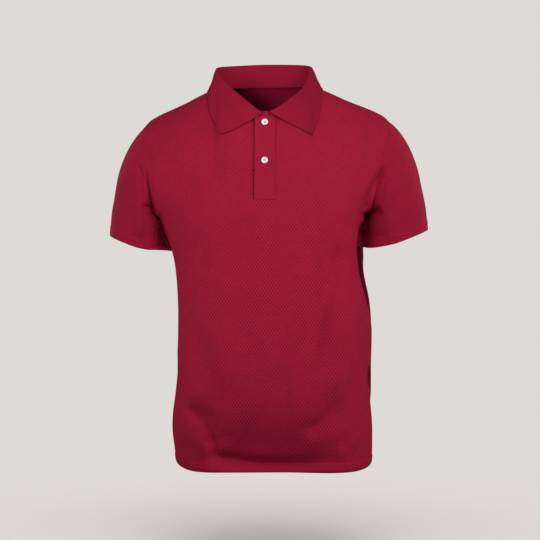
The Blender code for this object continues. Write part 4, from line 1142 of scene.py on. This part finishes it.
def collar_half(hand, columns, stand_rows, roll_rows, leaf_rows):
    """Folded sections on the middle of the collar's wall, from one front end to the middle of the back."""
    t = np.linspace(0, 1, columns // 2 + 1) ** 1.25
    table = spline(COLLAR[:, 0], COLLAR[:, 1:], t)
    own = spline(COLLAR_SET[hand][:, 0], COLLAR_SET[hand][:, 1:], t) / 1000
    roll, edge_line = table[:, :3] * (hand, 1, 1), table[:, 3:] * (hand, 1, 1)
    lean = COLLAR_LEAN * (1 - smoothstep(t / 0.38))
    phi = np.linspace(0, math.pi / 2, 300)
    path = np.concatenate([neckline(-1, phi), neckline(1, phi[::-1])[1:]])
    share = lengths(path)[0]
    first = float(np.interp(COLLAR[0, 1], path[:300, 0], share[:300]))
    angle_path = np.arctan2(path[:, 0], -path[:, 1])
    angle_roll = np.arctan2(hand * roll[:, 0], -roll[:, 1])
    seam_share = np.interp(angle_roll, angle_path, share)
    seam_share[0], seam_share[-1] = first, 1.0
    seam = np.stack([np.interp(seam_share, share, path[:, k]) for k in range(3)], axis=-1) * (hand, 1, 1)
    seam[:, 2] -= 0.0030  # the collar's foot is sewn inside the neckline
    run = np.gradient(roll, axis=0)
    out = unit(np.stack([run[:, 1], -run[:, 0], 0 * run[:, 0]], axis=-1))
    out *= np.sign(np.einsum("ij,ij->i", out, roll * (1, 1, 0)))[:, None]
    out[-1] = (0, 1, 0)
    roll[:, 0] += own[:, 0] + lean
    roll[:, 2] += own[:, 1]
    edge_line[:, 0] += own[:, 2] + lean
    edge_line[:, 2] += own[:, 3]
    sections = []
    for k in range(len(t)):
        inside = roll[k] - out[k] * ROLL_RADIUS
        outside = roll[k] + out[k] * ROLL_RADIUS
        lift = np.array([0, 0, ROLL_RADIUS])
        low = seam[k] - out[k] * 0.0012
        stand = [low + (inside - low) * s for s in np.linspace(0, 1, stand_rows + 1)]
        arc = [roll[k] - out[k] * ROLL_RADIUS * math.cos(a) + lift * math.sin(a) for a in np.linspace(0, math.pi, roll_rows + 2)[1:-1]]
        drop = edge_line[k] - outside
        crown = 0.0018 * math.sin(math.pi * min(1.0, 0.25 + t[k]))
        bow = np.array([0, 0, -LEAF_BOW[hand] * (1 - float(smoothstep(t[k] / 0.10)))])
        leaf = [
            outside + drop * s + out[k] * crown * math.sin(math.pi * s) * (1 - 0.5 * s) + bow * math.sin(math.pi * s**1.2)
            for s in np.linspace(0, 1, leaf_rows + 1)
        ]
        sections.append(stand + arc + leaf)
    return np.array(sections)


def collar_sections(columns, stand_rows, roll_rows, leaf_rows):
    """The whole collar, from its +X front end round the back to its -X one."""
    left = collar_half(1, columns, stand_rows, roll_rows, leaf_rows)
    right = collar_half(-1, columns, stand_rows, roll_rows, leaf_rows)
    left[-1] = (left[-1] + right[-1]) / 2
    return np.concatenate([left, right[-2::-1]])


def laid_on_panels(points, first_row):
    """Sets the leaf on the body: forwards at the front, up on the shoulder and backwards behind."""
    tree = panel_tree(0.5, 2)
    count, rows = points.shape[:2]
    t = 1 - np.abs(np.linspace(-1, 1, count))
    t = t**1.25
    turn = spline([0, 0.30, 0.42, 0.54, 0.68, 1.0], [0, 0.10, 0.50, 1.25, 2.6, math.pi], t)[:, 0]
    hand = np.sign(np.linspace(1, -1, count))
    way = np.stack([hand * 0.25 * np.sin(turn), -np.cos(turn), np.sin(turn)], axis=1)
    way = unit(way)
    need = np.full((count, rows), -1.0)
    for c in range(count):
        for r in range(first_row, rows):
            spot, out = Vector(points[c, r]), Vector(way[c])
            hit, facing, _, _ = tree.ray_cast(spot + out * 0.10, -out)
            if hit is not None:
                near_placket = PLACKET_EXTRA * float(smoothstep((0.024 - abs(points[c, r, 0])) / 0.006))
                need[c, r] = (hit - spot).dot(out) + (LEAF_CLEAR + near_placket) / max(0.35, abs(facing.dot(out)))
    s = np.clip((np.arange(rows) - first_row) / (rows - 1 - first_row), 0, 1)
    edge = np.where(need[:, -1] > -0.5, need[:, -1], 0.0)
    kernel = np.hanning(13) / np.hanning(13).sum()
    moved = edge[:, None] * s[None] ** 1.6
    for _ in range(3):
        moved = np.maximum(moved, need)
        moved = np.apply_along_axis(lambda v: np.convolve(np.pad(v, 6, mode="edge"), kernel, mode="valid"), 0, moved)
        moved[:, 1:-1] = 0.5 * moved[:, 1:-1] + 0.25 * (moved[:, :-2] + moved[:, 2:])
    moved = np.maximum(moved, need)
    moved[:, : first_row - 2] = 0.0
    return points + moved[..., None] * way[:, None]


STAND, ROLL, LEAF = 8, 7, 22
collar = posed(collar_sections(COLLAR_COLUMNS, STAND, ROLL, LEAF))
collar = laid_on_panels(collar, STAND + ROLL + 5)
normals = grid_normals(collar)
# The leaf's own face looks away from the neck; the wall's middle is the given surface.
leaf_row = STAND + ROLL + LEAF // 2
if np.einsum("ij,ij->", normals[:, leaf_row], collar[:, leaf_row] * np.array([1, 1, 0])) < 0:
    normals = -normals
down = running(collar, 1)
around = running(collar[:, STAND + ROLL // 2 : STAND + ROLL // 2 + 1], 0)
flat = np.stack([np.broadcast_to(around, down.shape), down], axis=-1)
piece = shell("collar_cloth", collar - normals * (BAND_WALL / 2), BAND_WALL, flat, way=normals)
dress(piece, "collar", RIB)


# ------------------------------------------------------------------------------ buttons
BUTTON = button_material("button_white")
THREAD = thread_material("button_thread", (0.46, 0.53, 0.57))


def lathe(profile, steps):
    verts, faces = [], []
    for x, z in profile[1:-1]:
        verts += [(x * math.cos(2 * math.pi * k / steps), x * math.sin(2 * math.pi * k / steps), z) for k in range(steps)]
    top, bottom = len(verts), len(verts) + 1
    verts += [(0, 0, profile[0][1]), (0, 0, profile[-1][1])]
    rings = len(profile) - 2
    for k in range(steps):
        n = (k + 1) % steps
        faces.append((top, k, n))
        for r in range(rings - 1):
            faces.append((r * steps + k, (r + 1) * steps + k, (r + 1) * steps + n, r * steps + n))
        faces.append((bottom, (rings - 1) * steps + n, (rings - 1) * steps + k))
    return verts, faces


def baked(made):
    """An object with its modifiers made real."""
    bpy.context.view_layer.update()
    real = bpy.data.meshes.new_from_object(made.evaluated_get(bpy.context.evaluated_depsgraph_get()))
    made.modifiers.clear()
    made.data = real
    return made


def new_object(name, verts, faces):
    mesh = bpy.data.meshes.new(name)
    mesh.from_pydata(verts, [], faces)
    mesh.shade_smooth()
    made = bpy.data.objects.new(name, mesh)
    scene.collection.objects.link(made)
    return made


def tube(name, points, radius, sides=8):
    """A short round cord through points, closed at its ends."""
    points = np.array(points, float)
    ways = unit(np.gradient(points, axis=0))
    verts, faces = [], []
    for p, w in zip(points, ways):
        a = unit(np.cross(w, (0.1, 0.2, 1.0)))
        b = np.cross(w, a)
        verts += [tuple(p + radius * (math.cos(2 * math.pi * k / sides) * a + math.sin(2 * math.pi * k / sides) * b)) for k in range(sides)]
    for r in range(len(points) - 1):
        for k in range(sides):
            n = (k + 1) % sides
            faces.append((r * sides + k, r * sides + n, (r + 1) * sides + n, (r + 1) * sides + k))
    faces.append(tuple(range(sides))[::-1])
    faces.append(tuple(range((len(points) - 1) * sides, len(points) * sides)))
    return new_object(name, verts, faces)


top_face, top_way, top_columns, top_shares = placket_face
centre_column = int(np.argmin(np.abs(top_columns)))
HOLE_AT, HOLE_RADIUS = 0.00140, 0.00075
for number, height in enumerate(BUTTON_Z, start=1):
    row = int(np.argmin(np.abs(top_face[:, centre_column, 2] - height)))
    box_low, box_high = (Vector(v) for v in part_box(f"button_{number}"))
    facing = Vector(top_way[row, centre_column])
    middle = (box_low + box_high) / 2
    turned = facing.to_track_quat("Z", "Y").to_matrix().to_4x4()
    turned.translation = middle - facing * (BUTTON_THICK / 2 - 0.0004)
    r, h = BUTTON_RADIUS, BUTTON_THICK
    profile = [
        (0.0, h * 0.52), (r * 0.30, h * 0.52), (r * 0.52, h * 0.56), (r * 0.62, h * 0.70), (r * 0.70, h * 0.92), (r * 0.78, h * 1.0),
        (r * 0.88, h * 0.98), (r * 0.96, h * 0.82), (r * 1.0, h * 0.56), (r * 0.98, h * 0.30), (r * 0.90, h * 0.08), (r * 0.80, 0.0), (0.0, 0.0),
    ]
    button = new_object(f"button_{number}_disc", *lathe(profile, 56))
    holes_v, holes_f = [], []
    for k in range(4):
        angle = math.pi / 4 + k * math.pi / 2
        cx, cy = HOLE_AT * math.cos(angle), HOLE_AT * math.sin(angle)
        start, sides = len(holes_v), 18
        for z in (-h, 2 * h):
            holes_v += [(cx + HOLE_RADIUS * math.cos(2 * math.pi * j / sides), cy + HOLE_RADIUS * math.sin(2 * math.pi * j / sides), z) for j in range(sides)]
        holes_f += [(start + j, start + (j + 1) % sides, start + sides + (j + 1) % sides, start + sides + j) for j in range(sides)]
        holes_f += [tuple(start + j for j in range(sides))[::-1], tuple(start + sides + j for j in range(sides))]
    cutter = new_object("cutter", holes_v, holes_f)
    cut = button.modifiers.new("holes", "BOOLEAN")
    cut.object, cut.operation, cut.solver = cutter, "DIFFERENCE", "EXACT"
    baked(button)
    bpy.data.objects.remove(cutter, do_unlink=True)
    button.data.transform(turned)
    button.data.shade_smooth()
    dress(button, f"button_{number}", BUTTON)
    # Two crossed strands of thread in the four holes.
    for strand, start in enumerate((0, 1)):
        a = math.pi / 4 + start * math.pi / 2
        ends = [np.array([HOLE_AT * math.cos(a + s), HOLE_AT * math.sin(a + s)]) for s in (0, math.pi)]
        line = []
        for s in np.linspace(0, 1, 13):
            flat_point = ends[0] + (ends[1] - ends[0]) * s
            up = h * 0.52 + 0.00035 * strand + 0.00042 * math.sin(math.pi * s) ** 0.5 - 0.0012 * (1 - math.sin(math.pi * s) ** 0.35)
            line.append((flat_point[0], flat_point[1], up))
        thread = tube(f"button_{number}_thread_{strand + 1}", line, 0.00038)
        thread.data.transform(turned)
        dress(thread, None, THREAD)
        thread.data.materials[0] = THREAD

# ------------------------------------------------------------------------------ floor and light
FLOOR_Z = -0.860


def floor_material():
    """A pale matte floor that fades into the plain surround away from the shirt."""
    n = Nodes("floor")
    place = n.node("ShaderNodeTexCoord").outputs["Object"]
    n.link(n.mix(n.noise(3.0, 2.0, place), (0.725, 0.697, 0.676), (0.735, 0.706, 0.685)), n.shader.inputs["Base Color"])
    n.shader.inputs["Roughness"].default_value = 1.0
    n.shader.inputs["Specular IOR Level"].default_value = 0.0
    n.link(n.bump(n.noise(300.0, 2.0, place), 0.0003, 0.2), n.shader.inputs["Normal"])
    away = n.node("ShaderNodeVectorMath", operation="LENGTH")
    n.link(place, away.inputs[0])
    clear = n.node("ShaderNodeBsdfTransparent")
    blend = n.node("ShaderNodeMixShader")
    n.link(n.ramp(away.outputs["Value"], 0.55, 1.15), blend.inputs["Fac"])
    n.link(n.shader.outputs[0], blend.inputs[1])
    n.link(clear.outputs[0], blend.inputs[2])
    n.link(blend.outputs[0], n.tree.nodes["Material Output"].inputs["Surface"])
    return n.material


floor = new_object("floor", [(-3, -3, 0), (3, -3, 0), (3, 3, 0), (-3, 3, 0)], [(0, 1, 2, 3)])
floor.location = (0.004, 0.0, FLOOR_Z)
floor.visible_diffuse = False  # the photo shows next to no light thrown back up from it
floor.data.materials.append(floor_material())

shirt_only = bpy.data.collections.new("lit_shirt")
floor_only = bpy.data.collections.new("lit_floor")
for piece in list(scene.objects):
    if piece.type == "MESH" and piece is not floor:
        shirt_only.objects.link(piece)
floor_only.objects.link(floor)


def area_light(name, place, aim, width, height, power, colour=(1, 1, 1), only=None):
    data = bpy.data.lights.new(name, "AREA")
    data.shape, data.size, data.size_y, data.energy, data.color = "RECTANGLE", width, height, power, colour
    made = bpy.data.objects.new(name, data)
    scene.collection.objects.link(made)
    made.location = place
    made.rotation_euler = (Vector(aim) - Vector(place)).to_track_quat("-Z", "Y").to_euler()
    if only:
        made.light_linking.receiver_collection = only
    return made


def lit(name, *starts):
    """The pieces whose names begin so, as the receivers of a light."""
    made = bpy.data.collections.new(name)
    for piece in shirt_only.objects:
        if piece.name.startswith(starts):
            made.objects.link(piece)
    return made


BODY = ("front_panel", "hem_band_front", "placket", "button")
ARMS = ("sleeve", "cuff_band")
all_front = lit("lit_front", *BODY, *ARMS, "collar")
body_arms = lit("lit_body_arms", *BODY, *ARMS)
rear = lit("lit_rear", "back_panel", "hem_band_back", *ARMS, "collar")
MIDDLE = (0, 0, -0.25)


def lamp(name, azimuth, elevation, distance, width, height, power, only):
    """An area light at an angle round from the front and up from level, aimed at the shirt's middle."""
    a, e = math.radians(azimuth), math.radians(elevation)
    away = Vector((math.sin(a) * math.cos(e), -math.cos(a) * math.cos(e), math.sin(e)))
    area_light(name, Vector(MIDDLE) + distance * away, MIDDLE, width, height, power, only=only)


body_front = lit("lit_body", *BODY)
lamp("key", 35, 28, 3.0, 1.0, 1.0, 28.5, all_front)
lamp("right_fill", 70, 18, 3.0, 1.0, 1.0, 11.5, all_front)
lamp("left_fill", -70, 18, 3.0, 1.0, 1.0, 14.0, all_front)
lamp("low_left", -35, -28, 3.0, 1.0, 1.0, 15.0, all_front)
lamp("low_right", 70, -20, 3.0, 1.0, 1.0, 13.0, body_front)
lamp("low_side", -75, -20, 3.0, 1.0, 1.0, 15.0, body_front)
area_light("near", (0.05, -1.05, 0.32), MIDDLE, 0.5, 0.5, 4.2, only=body_arms)
area_light("neck", (-0.80, -2.90, -0.42), (0, 0, 0), 1.0, 0.85, 30, only=lit("lit_collar", "collar"))
area_light("inside", (-1.00, -2.83, 0.08), (0, 0, 0), 1.0, 0.85, 36, only=lit("lit_inside", "back_panel"))
lamp("behind", 180, 12, 3.0, 1.2, 1.2, 36.0, rear)
rear_sides = lit("lit_rear_sides", "back_panel", "hem_band_back", *ARMS)
lamp("behind_right", 118, 10, 3.0, 1.2, 1.2, 28.0, rear_sides)
lamp("behind_left", -118, 10, 3.0, 1.2, 1.2, 25.0, rear_sides)

sun = bpy.data.lights.new("overhead", "SUN")
sun.energy, sun.angle = 0.80, math.radians(41)
overhead = bpy.data.objects.new("overhead", sun)
scene.collection.objects.link(overhead)
overhead.rotation_euler = (math.radians(28), math.radians(2.5), 0)
overhead.light_linking.receiver_collection = floor_only
overhead.light_linking.blocker_collection = lit("shades_floor", "front_panel", "back_panel", "hem_band", "collar")
soft = bpy.data.lights.new("floor_fill", "SUN")
soft.energy, soft.angle, soft.use_shadow = 2.30, math.radians(90), False
floor_fill = bpy.data.objects.new("floor_fill", soft)
scene.collection.objects.link(floor_fill)
floor_fill.rotation_euler = (math.radians(28), 0, 0)
floor_fill.light_linking.receiver_collection = floor_only

world = bpy.data.worlds.new("surround")
scene.world = world
world.use_nodes = True
tree = world.node_tree
tree.nodes.clear()
seen = tree.nodes.new("ShaderNodeBackground")
seen.inputs["Color"].default_value = (0.7305, 0.7011, 0.6795, 1)
fill = tree.nodes.new("ShaderNodeBackground")
fill.inputs["Color"].default_value = (1.0, 0.985, 0.97, 1)
fill.inputs["Strength"].default_value = 0.130
path = tree.nodes.new("ShaderNodeLightPath")
blend = tree.nodes.new("ShaderNodeMixShader")
output = tree.nodes.new("ShaderNodeOutputWorld")
tree.links.new(path.outputs["Is Camera Ray"], blend.inputs["Fac"])
tree.links.new(fill.outputs[0], blend.inputs[1])
tree.links.new(seen.outputs[0], blend.inputs[2])
tree.links.new(blend.outputs[0], output.inputs["Surface"])

scene.view_settings.view_transform = "Standard"
scene.view_settings.look = "None"
scene.view_settings.exposure = 0.0
scene.view_settings.gamma = 1.0
